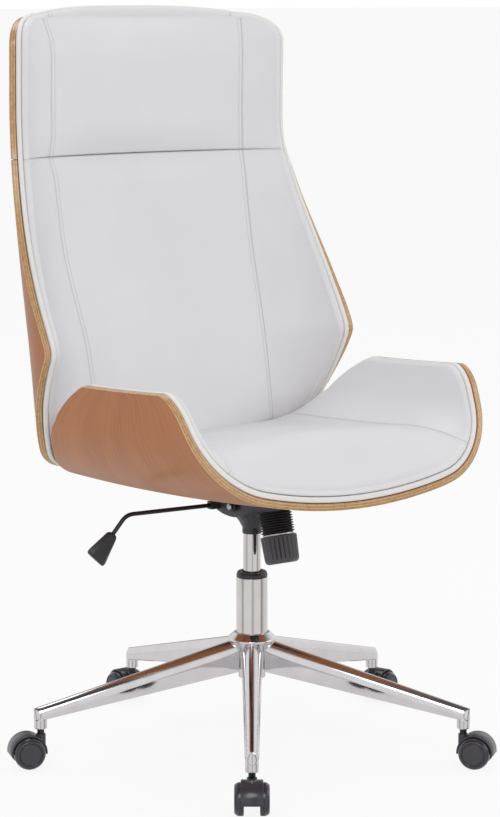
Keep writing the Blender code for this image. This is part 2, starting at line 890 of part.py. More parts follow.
def make_pad(name, rows, base, height_at, leather, parent, crown=0.0, foot_inset=0.0, floor_of=None):
    """A cushion over the liner, highest along the middle and drawn in at its two seams."""

    def thickness(row, column):
        z, girth = rows[row]
        side = abs(column)
        girth -= PAD_INSET
        g = back_station(girth, side)
        rise = max(0.0, height_at(z) - PAD_EDGE) * (1 - (g / girth) ** 2)
        if side == BACK_INNER_COLUMNS:
            rise = max(0.0, rise - SEAM_SINK)
        return base + PAD_EDGE + rise

    def shoulder(row, column):
        return base + 0.45 * (thickness(row, column) - base)

    pad = back_sheet(
        name,
        rows,
        ((PAD_INSET, base), (PAD_INSET, shoulder), (PAD_INSET + PAD_ROUND, thickness)),
        crown,
        foot_inset,
        floor_of,
    )
    add(name, pad, leather, parent, 60.0)


# Back bracket and fasteners

def bar_path():
    """The bar's inner line under the seat, round the bend and up behind the back."""
    behind = back_spine(BACK_BOTTOM) + BACK_PLY + BAR_GAP
    under = []
    for step in range(5):
        y = BAR_START_Y + (behind - BAR_BEND - BAR_START_Y) * step / 4
        under.append(Vector((y, seat_place(0.0, y, -BAR_GAP).z)))
    centre = Vector((behind - BAR_BEND, under[-1].y + BAR_BEND))
    path = under[:-1]
    for step in range(5):
        turn = math.radians(-90.0 + 22.5 * step)
        path.append(centre + BAR_BEND * Vector((math.cos(turn), math.sin(turn))))
    for step in range(5):
        z = BACK_BOTTOM + (BAR_TOP - BACK_BOTTOM) * step / 4
        path.append(Vector((back_spine(z) + BACK_PLY + BAR_GAP, z)))
    return path


def make_bracket(made, parent):
    path = bar_path()
    outer = []
    for at, here in enumerate(path):
        ahead = path[min(at + 1, len(path) - 1)] - path[max(at - 1, 0)]
        ahead.normalize()
        outer.append(here + BAR_THICKNESS * Vector((ahead.y, -ahead.x)))
    outline = [tuple(p) for p in path] + [tuple(p) for p in reversed(outer)]
    bar = prism("back_bracket", outline, -BAR_HALF_WIDTH, BAR_HALF_WIDTH, "X")
    drilled = combined("back_bracket", bar, *screw_holes(bar_seat_places() + bar_back_places()))
    add("back_bracket", drilled, made["black_steel"], parent)

    make_screws("seat_bolt", plate_bolt_places(), made["steel"], parent)
    make_screws("bracket_screw", bar_seat_places() + bar_back_places(), made["steel"], parent)


def make_screws(name, places, steel, parent):
    """Domed screws, each with its head against the face that it clamps."""
    profile = (
        (0.0, -PIECE_GAP - BOLT_HEAD_HEIGHT),
        (BOLT_HEAD * 0.7, -PIECE_GAP - BOLT_HEAD_HEIGHT),
        (BOLT_HEAD, -PIECE_GAP - BOLT_HEAD_HEIGHT * 0.5),
        (BOLT_HEAD, -PIECE_GAP),
        (SHANK_RADIUS, -PIECE_GAP),
        (SHANK_RADIUS, BAR_THICKNESS + SHANK_GRIP),
        (0.0, BAR_THICKNESS + SHANK_GRIP),
    )
    screw = revolved(name, profile, 6)
    for number, (centre, direction) in enumerate(places, 1):
        thing = add(f"{name}_{number}", screw, steel, parent)
        thing.matrix_local = Matrix.Translation(parent["home"]) @ turned_to(direction, centre)


def make_seat_plate(made, parent):
    """The tilting plate with its two pivot ears and the stirrup that lifts the tension bolt."""

    def place(row, column, inset, lift):
        y = PLATE_FRONT + (PLATE_REAR - PLATE_FRONT) * row / 3
        return seat_place(PLATE_HALF_WIDTH * column, y, lift)

    skin = sheet("seat_plate", 4, 1, place, ((0.0, -PLATE_GAP - PLATE_THICKNESS), (0.0, -PLATE_GAP)))
    plate_under = seat_place(0.0, PIVOT_Y, -PLATE_GAP - PLATE_THICKNESS).z
    inside = HOUSING_HALF_WIDTH + PIVOT_RADIUS - 0.0005
    steps = []
    for side in (-1.0, 1.0):
        outline = [(PIVOT_Y + EAR_HALF_LENGTH, plate_under + 0.0028)]
        for step in range(7):
            turn = -math.pi * step / 6
            outline.append((PIVOT_Y + EAR_HALF_LENGTH * math.cos(turn),
                            PIVOT_Z + (EAR_DROP + 0.0005) * math.sin(turn)))
        outline.append((PIVOT_Y - EAR_HALF_LENGTH, plate_under + 0.0028))
        span = sorted((side * inside, side * (inside + EAR_THICKNESS)))
        steps.append(("UNION", prism("ear", outline, span[0], span[1], "X")))
        hole = rod_between("hole", (side * 0.04, PIVOT_Y, PIVOT_Z), (side * 0.07, PIVOT_Y, PIVOT_Z),
                           PIVOT_RADIUS + PIECE_GAP, 16)
        steps.append(("DIFFERENCE", hole))
    steps.extend(stirrup_steps())
    steps.extend(screw_holes(plate_bolt_places()))
    add("seat_plate", combined("seat_plate", skin, *steps), made["black_steel"], parent)


def bolt_frame():
    """The tension bolt's axis: local +Z runs up it, from the boot's seat under the housing."""
    return Matrix.Translation((0.0, BOLT_Y, BOLT_Z)) @ Matrix.Rotation(-math.radians(BOLT_LEAN), 4, "X")


def stirrup_steps():
    """A hanging bracket under the plate whose slotted floor carries the bolt's cross pin."""
    half = BOLT_PIN_HALF + PIECE_GAP
    floor_top = STIRRUP_FLOOR + STIRRUP_WALL
    top = seat_place(0.0, BOLT_Y, -PLATE_GAP - PLATE_THICKNESS / 2).z
    place = bolt_frame()
    reach = (top - BOLT_Z) / math.cos(math.radians(BOLT_LEAN)) - 0.001
    run = STIRRUP_RUN
    body = moved(block("stirrup", (-half - STIRRUP_WALL, -run, STIRRUP_FLOOR),
                       (half + STIRRUP_WALL, run, reach)), place)
    room = moved(block("room", (-half, -run - 0.01, floor_top), (half, run + 0.01, reach + 0.02)), place)
    slot = moved(block("slot", (-BOLT_RADIUS - 0.0006, -run - 0.01, floor_top - 0.01),
                       (BOLT_RADIUS + 0.0006, BOLT_RADIUS + 0.0026, floor_top + 0.001)), place)
    return [("UNION", combined("stirrup", body, ("DIFFERENCE", room), ("DIFFERENCE", slot)))]


# Tilt housing

def smooth_step(t):
    t = min(1.0, max(0.0, t))
    return t * t * (3 - 2 * t)


def housing_rim(angle):
    """Reach of the housing's rounded-rectangle rim in one direction about the column."""
    across = math.cos(angle)
    forward = math.sin(angle)
    length = HOUSING_REAR if forward > 0 else HOUSING_FRONT
    power = 4.0
    spread = (abs(across) / HOUSING_HALF_WIDTH) ** power + (abs(forward) / length) ** power
    return spread ** (-1 / power)


def housing_ring(angle):
    """Heights of the wall's foot and rim in one direction."""
    y = housing_rim(angle) * math.sin(angle)
    foot = HOUSING_SIDE_Z
    foot += (HOUSING_FRONT_Z - HOUSING_SIDE_Z) * smooth_step((-y - 0.02) / 0.045)
    foot += (HOUSING_REAR_Z - HOUSING_SIDE_Z) * smooth_step(y / HOUSING_REAR)
    slope = math.tan(math.radians(TILT_MOST + 1.3))
    rim = HOUSING_RIM_Z - slope * max(0.0, y - PIVOT_Y)
    return foot, rim


def housing_loft(name, wall):
    """The funnel of the housing drawn in by a wall: neck, cove, then the upright side."""
    neck = NECK_RADIUS
    rows = [(0.0, None), (0.14, 0.0), (0.34, 0.0), (0.62, 0.0), (1.0, 0.0), (1.0, 1.0)]
    sections = []
    if not wall:
        sections.append([(neck, SOCKET_MOUTH)] * HOUSING_SIDES)
    for u, up in rows:
        ring = []
        for side in range(HOUSING_SIDES):
            angle = 2 * math.pi * side / HOUSING_SIDES
            reach = housing_rim(angle) - wall
            foot, rim = housing_ring(angle)
            front = max(0.0, -math.sin(angle))
            power = 3.0 + 1.5 * front**2
            r = neck + (reach - neck) * u
            z = NECK_TOP + (foot - NECK_TOP) * (1 - (1 - u) ** power)
            z += wall if u > 0.0 or up is not None else 0.0
            if up:
                z = rim + (0.01 if wall else 0.0)
            ring.append((r, z))
        sections.append(ring)
    placed = []
    for ring in sections:
        points = []
        for side, (r, z) in enumerate(ring):
            angle = 2 * math.pi * side / HOUSING_SIDES
            points.append((r * math.cos(angle), r * math.sin(angle), z))
        placed.append(points)
    return placed


def make_housing(made, parent):
    outer = lofted("tilt_housing", housing_loft("outer", 0.0))
    hollow_rings = housing_loft("hollow", HOUSING_WALL)[1:]
    hollow = lofted("hollow", hollow_rings)
    place = bolt_frame()
    around_boot = revolved("around_boot", ((0.0, -0.03), (BOOT_RADIUS + 0.0014, -0.03),
                                           (BOOT_RADIUS + 0.0014, 0.001), (0.0, 0.001)), 22)
    side = BOLT_PIN_HALF + PIECE_GAP + STIRRUP_WALL + 0.0012
    well = block("well", (-side, -STIRRUP_RUN - 0.0015, STIRRUP_FLOOR - 0.0009),
                 (side, STIRRUP_RUN + 0.0015, 0.05))
    seat = revolved("spring_seat", ((0.0, 0.0), (BOOT_RADIUS + 0.0008, 0.0), (BOOT_RADIUS + 0.0008, 0.0055),
                                    (0.0, 0.0055)), 20)
    bolt_hole = revolved("hole", ((0.0, -0.01), (BOLT_RADIUS + 0.0012, -0.01),
                                  (BOLT_RADIUS + 0.0012, 0.02), (0.0, 0.02)), 12)
    cone = revolved("cone", ((0.0, SOCKET_MOUTH - 0.01), (CYLINDER_RADIUS + PIECE_GAP, SOCKET_MOUTH - 0.01),
                             (CYLINDER_RADIUS + PIECE_GAP, SOCKET_MOUTH + CONE_SEAT),
                             (BUTTON_RADIUS + 0.002, SOCKET_MOUTH + CONE_SEAT),
                             (BUTTON_RADIUS + 0.002, SOCKET_MOUTH + 0.06),
                             (0.0, SOCKET_MOUTH + 0.06)), 24)
    shaft = rod_between("shaft", (-0.08, PIVOT_Y, PIVOT_Z), (0.08, PIVOT_Y, PIVOT_Z),
                        PIVOT_RADIUS + PIECE_GAP, 16)
    half = bush_half() + PIECE_GAP
    notch = block("notch", (-0.08, LEVER_Y - half, LEVER_Z - half), (-0.034, LEVER_Y + half, 0.43))
    mesh = combined(
        "tilt_housing",
        outer,
        ("DIFFERENCE", moved(around_boot, place)),
        ("UNION", moved(seat, place)),
        ("DIFFERENCE", moved(well, place)),
        ("DIFFERENCE", hollow),
        ("DIFFERENCE", cone),
        ("DIFFERENCE", moved(bolt_hole, place)),
        ("DIFFERENCE", shaft),
        ("DIFFERENCE", notch),
    )
    add("tilt_housing", mesh, made["casting"], parent)


def make_pivot(made, parent):
    """The tilt shaft with its domed head at one end and a retaining ring at the other."""
    reach = HOUSING_HALF_WIDTH + PIVOT_RADIUS + EAR_THICKNESS + PIECE_GAP
    profile = (
        (0.0, -reach - 0.0045),
        (PIVOT_HEAD * 0.75, -reach - 0.0045),
        (PIVOT_HEAD, -reach - 0.003),
        (PIVOT_HEAD, -reach),
        (PIVOT_RADIUS, -reach),
        (PIVOT_RADIUS, reach),
        (PIVOT_HEAD, reach),
        (PIVOT_HEAD, reach + 0.0015),
        (0.0, reach + 0.0015),
    )
    shaft = revolved("pivot_shaft", profile, 16)
    moved(shaft, turned_to((1.0, 0.0, 0.0), (0.0, PIVOT_Y, PIVOT_Z)))
    add("pivot_shaft", shaft, made["steel"], parent)


# Lever

def bush_half():
    return LEVER_RADIUS + PIECE_GAP + BUSH_WALL


def make_lever(made, column):
    parent = hinge_empty("lever_hinge", (LEVER_HINGE_X, LEVER_Y, LEVER_Z), column)
    half = bush_half()
    bush = block("lever_bush", (BUSH_X[0], LEVER_Y - half, LEVER_Z - half),
                 (BUSH_X[1], LEVER_Y + half, LEVER_Z + half))
    bore = rod_between("bore", (BUSH_X[0] - 0.01, LEVER_Y, LEVER_Z), (BUSH_X[1] + 0.01, LEVER_Y, LEVER_Z),
                       LEVER_RADIUS + PIECE_GAP, 12)
    add("lever_bush", combined("lever_bush", bush, ("DIFFERENCE", bore)), made["black_plastic"], parent)

    rod = lever_rod_mesh()
    finger = prism(
        "finger",
        ((LEVER_ROOT_X - 0.004, LEVER_Y - 0.0032), (-0.006, -0.005), (0.006, -0.005), (0.006, 0.004),
         (LEVER_ROOT_X + 0.006, LEVER_Y + 0.0032), (LEVER_ROOT_X - 0.004, LEVER_Y + 0.0032)),
        LEVER_Z - 0.0025,
        LEVER_Z + 0.0005,
    )
    add("lever_rod", combined("lever_rod", rod, ("UNION", finger)), made["black_steel"], parent)
    make_handle(made, parent)


def lever_rod_mesh():
    """The bent rod: straight out through its bush, then round the bend and into the handle."""
    inner = Vector((LEVER_ROOT_X, LEVER_Z))
    bush_end = Vector((BUSH_X[0] - 0.004, LEVER_Z))
    bend = Vector(LEVER_BEND)
    knee = Vector(LEVER_KNEE)
    tip = knee + (Vector(LEVER_TIP) - knee) * 0.45
    before = bend + (bush_end - bend).normalized() * 0.011
    after = bend + (knee - bend).normalized() * 0.011
    line = [inner, bush_end, before]
    for step in (0.25, 0.5, 0.75):
        line.append(before * (1 - step) ** 2 + bend * 2 * step * (1 - step) + after * step**2)
    line.extend((after, knee, tip))
    sections = []
    for at, here in enumerate(line):
        ahead = (line[min(at + 1, len(line) - 1)] - line[max(at - 1, 0)]).normalized()
        across = Vector((-ahead.y, ahead.x))
        ring = []
        for side in range(10):
            turn = 2 * math.pi * side / 10
            offset = across * LEVER_RADIUS * math.cos(turn)
            ring.append((here.x + offset.x, LEVER_Y + LEVER_RADIUS * math.sin(turn), here.y + offset.y))
        sections.append(ring)
    return lofted("lever_rod", sections)


def make_handle(made, parent):
    """A flat faceted paddle, widening to its tip, with a bore for the rod."""
    knee = Vector(LEVER_KNEE)
    tip = Vector(LEVER_TIP)
    ahead = (tip - knee).normalized()
    length = (tip - knee).length
    across = Vector((-ahead.y, ahead.x))
    stations = (
        (0.0, 0.62, 0.7),
        (0.05, 1.0, 1.0),
        (0.80, 1.0, 1.0),
        (0.96, 0.92, 0.8),
        (1.0, 0.72, 0.5),
    )
    sections = []
    for share, wide, thick in stations:
        here = knee + ahead * length * share
        width = (HANDLE_TOP_WIDTH + (HANDLE_WIDTH - HANDLE_TOP_WIDTH) * share) * wide / 2
        depth = HANDLE_THICKNESS * thick / 2
        ring = []
        for a, b in ((1.0, 0.35), (0.72, 1.0), (-0.72, 1.0), (-1.0, 0.35),
                     (-1.0, -0.35), (-0.72, -1.0), (0.72, -1.0), (1.0, -0.35)):
            ring.append((here.x + across.x * width * a, LEVER_Y + depth * b, here.y + across.y * width * a))
        sections.append(ring)
    body = lofted("lever_handle", sections)
    start = knee - ahead * 0.01
    end = knee + ahead * length * 0.45 + ahead * PIECE_GAP
    bore = rod_between("bore", (start.x, LEVER_Y, start.y), (end.x, LEVER_Y, end.y),
                       LEVER_RADIUS + 2 * PIECE_GAP, 12)
    add("lever_handle", combined("lever_handle", body, ("DIFFERENCE", bore)), made["black_plastic"], parent)


# Tension bolt, spring, boot and knob, drawn down the bolt's axis

def make_tension(made, parent):
    pin_half = BOLT_PIN_HALF
    shank = revolved("tension_bolt", ((0.0, -BOLT_LENGTH), (BOLT_RADIUS, -BOLT_LENGTH),
                                      (BOLT_RADIUS, BOLT_PIN_RISE), (0.0, BOLT_PIN_RISE)), 12)
    pin = rod_between("pin", (-pin_half, 0.0, BOLT_PIN_RISE), (pin_half, 0.0, BOLT_PIN_RISE), BOLT_RADIUS)
    add("tension_bolt", combined("tension_bolt", shank, ("UNION", pin)), made["steel"], parent)

    top = -PIECE_GAP
    bottom = -BOOT_LENGTH
    profile = [(BOOT_BORE, top)]
    for rib in range(BOOT_RIBS):
        z = top + (bottom - top) * rib / BOOT_RIBS
        profile.append((BOOT_RADIUS, z))
        profile.append((BOOT_VALLEY, z + (bottom - top) * 0.5 / BOOT_RIBS))
    profile.append((BOOT_RADIUS, bottom))
    profile.append((BOOT_BORE, bottom))
    add("spring_boot", revolved("spring_boot", profile, BOOT_SIDES), made["rubber"], parent)

    make_spring(made["steel"], parent)

    washer_top = bottom - PIECE_GAP
    washer_bottom = washer_top - WASHER_THICKNESS
    hole = BOLT_RADIUS + PIECE_GAP
    washer = revolved("thrust_washer", ((hole, washer_top), (WASHER_RADIUS, washer_top),
                                        (WASHER_RADIUS, washer_bottom), (hole, washer_bottom)), 20)
    add("thrust_washer", washer, made["steel"], parent)
    make_knob(washer_bottom - PIECE_GAP, made["grey_plastic"], parent)


def make_spring(steel, parent):
    """A coil of round wire from the housing's spring seat to the washer."""
    curve = bpy.data.curves.new("tension_spring", "CURVE")
    curve.dimensions = "3D"
    curve.bevel_depth = SPRING_WIRE
    curve.bevel_resolution = 0
    curve.use_fill_caps = True
    per_turn = 8
    count = SPRING_TURNS * per_turn + 1
    start = -PIECE_GAP - SPRING_WIRE
    end = -BOOT_LENGTH + SPRING_WIRE
    line = curve.splines.new("POLY")
    line.points.add(count - 1)
    for at in range(count):
        turn = 2 * math.pi * at / per_turn
        z = start + (end - start) * at / (count - 1)
        line.points[at].co = (SPRING_RADIUS * math.cos(turn), SPRING_RADIUS * math.sin(turn), z, 1.0)
    line.use_smooth = True
    thing = bpy.data.objects.new("tension_spring", curve)
    bpy.context.scene.collection.objects.link(thing)
    thing.parent = parent
    curve.materials.append(steel)


def make_knob(top, plastic, parent):
    """A fluted cup that screws up the bolt, with a rounded lower edge."""
    bottom = top - KNOB_LENGTH
    stations = (
        (0.0, 0.94),
        (0.04, 1.0),
        (0.84, 1.0),
        (0.95, 0.93),
        (1.0, 0.80),
    )
    sections = []
    count = 2 * KNOB_FLUTES
    for share, scale in stations:
        z = top + (bottom - top) * share
        radius = KNOB_TOP_RADIUS + (KNOB_BOTTOM_RADIUS - KNOB_TOP_RADIUS) * share
        ring = []
        for side in range(count):
            turn = 2 * math.pi * side / count
            flute = 0.0009 if side % 2 and scale == 1.0 else 0.0
            r = radius * scale - flute
            ring.append((r * math.cos(turn), r * math.sin(turn), z))
        sections.append(ring)
    body = lofted("tension_knob", sections)
    bore = revolved("bore", ((0.0, bottom + 0.0035), (BOLT_RADIUS + PIECE_GAP, bottom + 0.0035),
                             (BOLT_RADIUS + PIECE_GAP, top + 0.01), (0.0, top + 0.01)), 12)
    add("tension_knob", combined("tension_knob", body, ("DIFFERENCE", bore)), plastic, parent)


# Column

def make_column(made, base_frame):
    tube_foot = HUB_BOTTOM + HUB_FLOOR + PIECE_GAP
    tube_floor = tube_foot + TUBE_FLOOR
    rod_hole = PISTON_ROD_RADIUS + 2 * PIECE_GAP
    inside = TUBE_RADIUS - TUBE_WALL
    tube = revolved("column_tube", (
        (rod_hole, tube_foot), (TUBE_RADIUS, tube_foot), (TUBE_RADIUS, TUBE_TOP - 0.0006),
        (TUBE_RADIUS - 0.0006, TUBE_TOP), (inside, TUBE_TOP), (inside, tube_floor), (rod_hole, tube_floor),
    ), 20)
    add("column_tube", tube, made["chrome"], base_frame)

    bore = CYLINDER_RADIUS + PIECE_GAP
    lip = TUBE_TOP + PIECE_GAP
    lip_top = TUBE_TOP + COLLAR_LIP
    body = inside - PIECE_GAP
    collar = revolved("guide_collar", (
        (bore, TUBE_TOP - COLLAR_DEPTH), (body, TUBE_TOP - COLLAR_DEPTH), (body, lip),
        (COLLAR_RADIUS, lip), (COLLAR_RADIUS, lip_top - 0.003), (COLLAR_RADIUS - 0.002, lip_top),
        (bore, lip_top),
    ), 20)
    add("guide_collar", collar, made["black_plastic"], base_frame)

    bearing_low = tube_floor + PIECE_GAP
    bearing_high = bearing_low + 0.005
    bearing = revolved("thrust_bearing", (
        (rod_hole, bearing_low), (0.012, bearing_low), (0.012, bearing_high), (rod_hole, bearing_high),
    ), 16)
    add("thrust_bearing", bearing, made["steel"], base_frame)

    clip_top = tube_foot - PIECE_GAP
    clip = revolved("retaining_clip", (
        (rod_hole, clip_top - 0.002), (0.0085, clip_top - 0.002), (0.0085, clip_top), (rod_hole, clip_top),
    ), 16)
    add("retaining_clip", clip, made["steel"], base_frame)

    shoulder = bearing_high + PIECE_GAP
    rod = revolved("piston_rod", (
        (0.0, tube_foot - 0.005), (PISTON_ROD_RADIUS, tube_foot - 0.005), (PISTON_ROD_RADIUS, shoulder),
        (0.0075, shoulder), (0.0075, shoulder + 0.004), (PISTON_ROD_RADIUS, shoulder + 0.004),
        (PISTON_ROD_RADIUS, PISTON_TOP - PISTON_HEIGHT),
        (CYLINDER_RADIUS - CYLINDER_WALL - PIECE_GAP, PISTON_TOP - PISTON_HEIGHT),
        (CYLINDER_RADIUS - CYLINDER_WALL - PIECE_GAP, PISTON_TOP), (0.0, PISTON_TOP),
    ), 12)
    add("piston_rod", rod, made["steel"], base_frame)

    head = SOCKET_MOUTH + CONE_SEAT - PIECE_GAP
    hollow = CYLINDER_RADIUS - CYLINDER_WALL
    cylinder = revolved("gas_cylinder", (
        (0.0, head + BUTTON_HEIGHT), (BUTTON_RADIUS, head + BUTTON_HEIGHT), (BUTTON_RADIUS, head),
        (CYLINDER_RADIUS, head), (CYLINDER_RADIUS, CYLINDER_BOTTOM), (hollow, CYLINDER_BOTTOM),
        (hollow, head - CYLINDER_HEAD), (0.0, head - CYLINDER_HEAD),
    ), 20)
    add("gas_cylinder", cylinder, made["chrome"], base_frame)


# Star base

def arm_section(r, inner=0.0, floor=None, width=1.0):
    """One arm's section at a distance from the column: an arch over two drafted side walls."""
    share = (r - ARM_ROOT) / (ARM_REACH - ARM_ROOT)
    half = (ARM_ROOT_WIDTH + (ARM_END_WIDTH - ARM_ROOT_WIDTH) * min(1.0, share)) / 2 * width
    top = ARM_ROOT_TOP + (ARM_END_TOP - ARM_ROOT_TOP) * share - inner
    crease = ARM_ROOT_CREASE + (ARM_END_CREASE - ARM_ROOT_CREASE) * share
    bottom = ARM_ROOT_BOTTOM + (ARM_END_BOTTOM - ARM_ROOT_BOTTOM) * share
    low = bottom if floor is None else floor
    points = [(-half * ARM_DRAFT + inner, -r, low), (half * ARM_DRAFT - inner, -r, low)]
    for step in range(ARM_ARCH_STEPS + 1):
        turn = math.pi * step / ARM_ARCH_STEPS
        points.append(((half - inner) * math.cos(turn), -r, crease + (top - crease) * math.sin(turn)))
    return points


def make_base(made, parent):
    hub = revolved("star_base", (
        (0.0, HUB_BOTTOM), (HUB_BOSS_RADIUS, HUB_BOTTOM), (HUB_BOSS_RADIUS, HUB_SKIRT),
        (HUB_RADIUS - 0.0015, HUB_SKIRT), (HUB_RADIUS, HUB_SKIRT + 0.0015), (HUB_RADIUS, 0.164),
        (HUB_RADIUS + 0.002, 0.1725), (HUB_FLANGE_RADIUS, 0.1788), (HUB_FLANGE_RADIUS, HUB_FLANGE_TOP),
        (TUBE_RADIUS + 0.0035, HUB_TOP), (0.0, HUB_TOP),
    ), 20)
    sections = [arm_section(ARM_ROOT - 0.003)]
    for turn in ARM_END_ANGLES:
        turn = math.radians(turn)
        sections.append(arm_section(
            ARM_REACH + ARM_END_WIDTH / 2 * math.sin(turn), width=math.cos(turn)))
    arm = lofted("arm", sections)
    post = revolved("post", ((0.0, SOCKET_BOTTOM), (SOCKET_RADIUS, SOCKET_BOTTOM),
                             (SOCKET_RADIUS, 0.0825), (0.0, 0.0825)), 14)
    moved(post, Matrix.Translation((0.0, -ARM_REACH, 0.0)))
    arm = combined("arm", arm, ("UNION", post))
    channel = lofted("channel", [
        arm_section(ARM_CHANNEL_START, ARM_WALL, 0.05),
        arm_section(ARM_CHANNEL_END, ARM_WALL, 0.05),
    ])
    bore = revolved("bore", ((0.0, 0.05), (STEM_RADIUS + PIECE_GAP, 0.05),
                             (STEM_RADIUS + PIECE_GAP, SOCKET_BOTTOM + SOCKET_DEPTH),
                             (0.0, SOCKET_BOTTOM + SOCKET_DEPTH)), 10)
    moved(bore, Matrix.Translation((0.0, -ARM_REACH, 0.0)))
    arm = combined("arm", arm, ("DIFFERENCE", channel), ("DIFFERENCE", bore))
    steps = []
    for turn in ARM_TURNS.values():
        copy = moved(arm.copy(), Matrix.Rotation(math.radians(turn), 4, "Z"))
        steps.append(("UNION", copy))
    hollow = revolved("hollow", (
        (0.0, HUB_BOTTOM - 0.01), (0.0095, HUB_BOTTOM - 0.01), (0.0095, HUB_BOTTOM + HUB_FLOOR),
        (TUBE_RADIUS + PIECE_GAP, HUB_BOTTOM + HUB_FLOOR), (TUBE_RADIUS + PIECE_GAP, HUB_TOP + 0.01),
        (0.0, HUB_TOP + 0.01),
    ), 20)
    steps.append(("DIFFERENCE", hollow))
    add("star_base", combined("star_base", hub, *steps), made["chrome"], parent)


# Casters

def wheel_mesh():
    """One wheel turning about X, its outer face at +X, a flat of its tread at the bottom."""
    corner = 1.0 / math.cos(math.pi / WHEEL_SIDES)
    tread = WHEEL_RADIUS * corner
    inside = WHEEL_HALF_GAP
    outside = WHEEL_HALF_GAP + WHEEL_THICKNESS
    bore = AXLE_RADIUS + AXLE_CLEARANCE
    profile = (
        (0.0, outside),
        (tread * 0.72, outside),
        (tread * 0.91, outside - WHEEL_SHOULDER * 0.5),
        (tread, outside - WHEEL_SHOULDER * 1.4),
        (tread, inside),
        (bore, inside),
        (bore, outside - AXLE_WALL),
        (0.0, outside - AXLE_WALL),
    )
    mesh = revolved("wheel", profile, WHEEL_SIDES, math.pi / WHEEL_SIDES)
    return moved(mesh, turned_to((1.0, 0.0, 0.0), (0.0, 0.0, 0.0)))


def hood_mesh():
    """The hood's band over the treads, its web between the wheels and the boss for the stem."""
    inner = WHEEL_RADIUS + HOOD_GAP
    outer = inner + HOOD_WALL
    steps = 9
    outline = []
    for radius, order in ((outer, range(steps + 1)), (inner, range(steps, -1, -1))):
        for step in order:
            turn = math.radians(-HOOD_DIP + (180.0 + 2 * HOOD_DIP) * step / steps)
            outline.append((-CASTER_TRAIL + radius * math.cos(turn), WHEEL_RADIUS + radius * math.sin(turn)))
    band = prism("hood", outline, -HOOD_HALF_WIDTH, HOOD_HALF_WIDTH, "X")
    web = []
    middle = (inner + outer) / 2
    boss = 0.0085
    for step in range(steps + 1):
        turn = math.pi * step / steps
        web.append((-CASTER_TRAIL + middle * math.cos(turn), WHEEL_RADIUS + middle * math.sin(turn)))
    for step in range(5):
        turn = math.pi + math.pi * step / 4
        web.append((-CASTER_TRAIL + boss * math.cos(turn), WHEEL_RADIUS + boss * math.sin(turn)))
    plate = prism("web", web, -HOOD_WEB, HOOD_WEB, "X")
    reach = WHEEL_HALF_GAP - PIECE_GAP
    centre = (0.0, -CASTER_TRAIL, WHEEL_RADIUS)
    hub = rod_between("hub", (-reach, *centre[1:]), (reach, *centre[1:]), 0.0065, 10)
    stem_boss = rod_between("boss", (0.0, 0.0, STEM_FOOT - 0.004), (0.0, 0.0, STEM_BOSS_TOP),
                            STEM_RADIUS + STEM_BOSS_WALL, 12)
    axle_hole = rod_between("hole", (-0.03, *centre[1:]), (0.03, *centre[1:]),
                            AXLE_RADIUS + AXLE_CLEARANCE, 8)
    stem_hole = rod_between("hole", (0.0, 0.0, STEM_FOOT - PIECE_GAP), (0.0, 0.0, 0.08),
                            STEM_RADIUS + PIECE_GAP, 10)
    return combined("hood", band, ("UNION", plate), ("UNION", hub), ("UNION", stem_boss),
                    ("DIFFERENCE", axle_hole), ("DIFFERENCE", stem_hole))


def make_casters(made, parent):
    hood = hood_mesh()
    wheel = wheel_mesh()
    mirrored = moved(wheel.copy(), Matrix.Scale(-1.0, 4, (1.0, 0.0, 0.0)))
    mirrored.flip_normals()
    reach = WHEEL_HALF_GAP + WHEEL_THICKNESS - AXLE_WALL - PIECE_GAP
    centre = (0.0, -CASTER_TRAIL, WHEEL_RADIUS)
    axle = rod_between("axle", (-reach, 0.0, 0.0), (reach, 0.0, 0.0), AXLE_RADIUS, 8)
    top = SOCKET_BOTTOM + SOCKET_DEPTH - PIECE_GAP
    stem = revolved("stem", ((0.0, STEM_FOOT), (STEM_RADIUS, STEM_FOOT), (STEM_RADIUS, top - 0.002),
                             (STEM_RADIUS - 0.002, top), (0.0, top)), 10)
    for place, turn in ARM_TURNS.items():
        about = Matrix.Rotation(math.radians(turn), 4, "Z")
        frame = frame_empty("caster_" + place, about @ Matrix.Translation((0.0, -ARM_REACH, 0.0)), parent)
        add(place + "_caster_hood", hood, made["grey_plastic"], frame)
        add(place + "_caster_stem", stem, made["black_steel"], frame)
        add(place + "_caster_axle", axle, made["steel"], frame).location = centre
        add(place + "_wheel_left", wheel, made["grey_plastic"], frame).location = centre
        add(place + "_wheel_right", mirrored, made["grey_plastic"], frame).location = centre


def main():
    for thing in list(bpy.data.objects):
        bpy.data.objects.remove(thing)
    made = make_materials()
    column = frame_empty("column_axis", Matrix.Translation((0.0, COLUMN_Y, 0.0)))
    seated = hinge_empty("tilt_pivot", (0.0, PIVOT_Y, PIVOT_Z), column)
    bolt = frame_empty("bolt_axis", bolt_frame(), column)
    make_base(made, column)
    make_column(made, column)
    make_casters(made, column)
    make_housing(made, column)
    make_pivot(made, column)
    make_lever(made, column)
    make_tension(made, bolt)
    make_seat_plate(made, seated)
    make_seat(made, seated)
    make_back(made, seated)
    make_bracket(made, seated)


main()
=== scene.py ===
"""Looks for the high-back swivel chair: veneered shells, sewn leather cushions, a polished base."""

import json
import math

import bmesh
import bpy
from mathutils import Matrix, Vector, noise


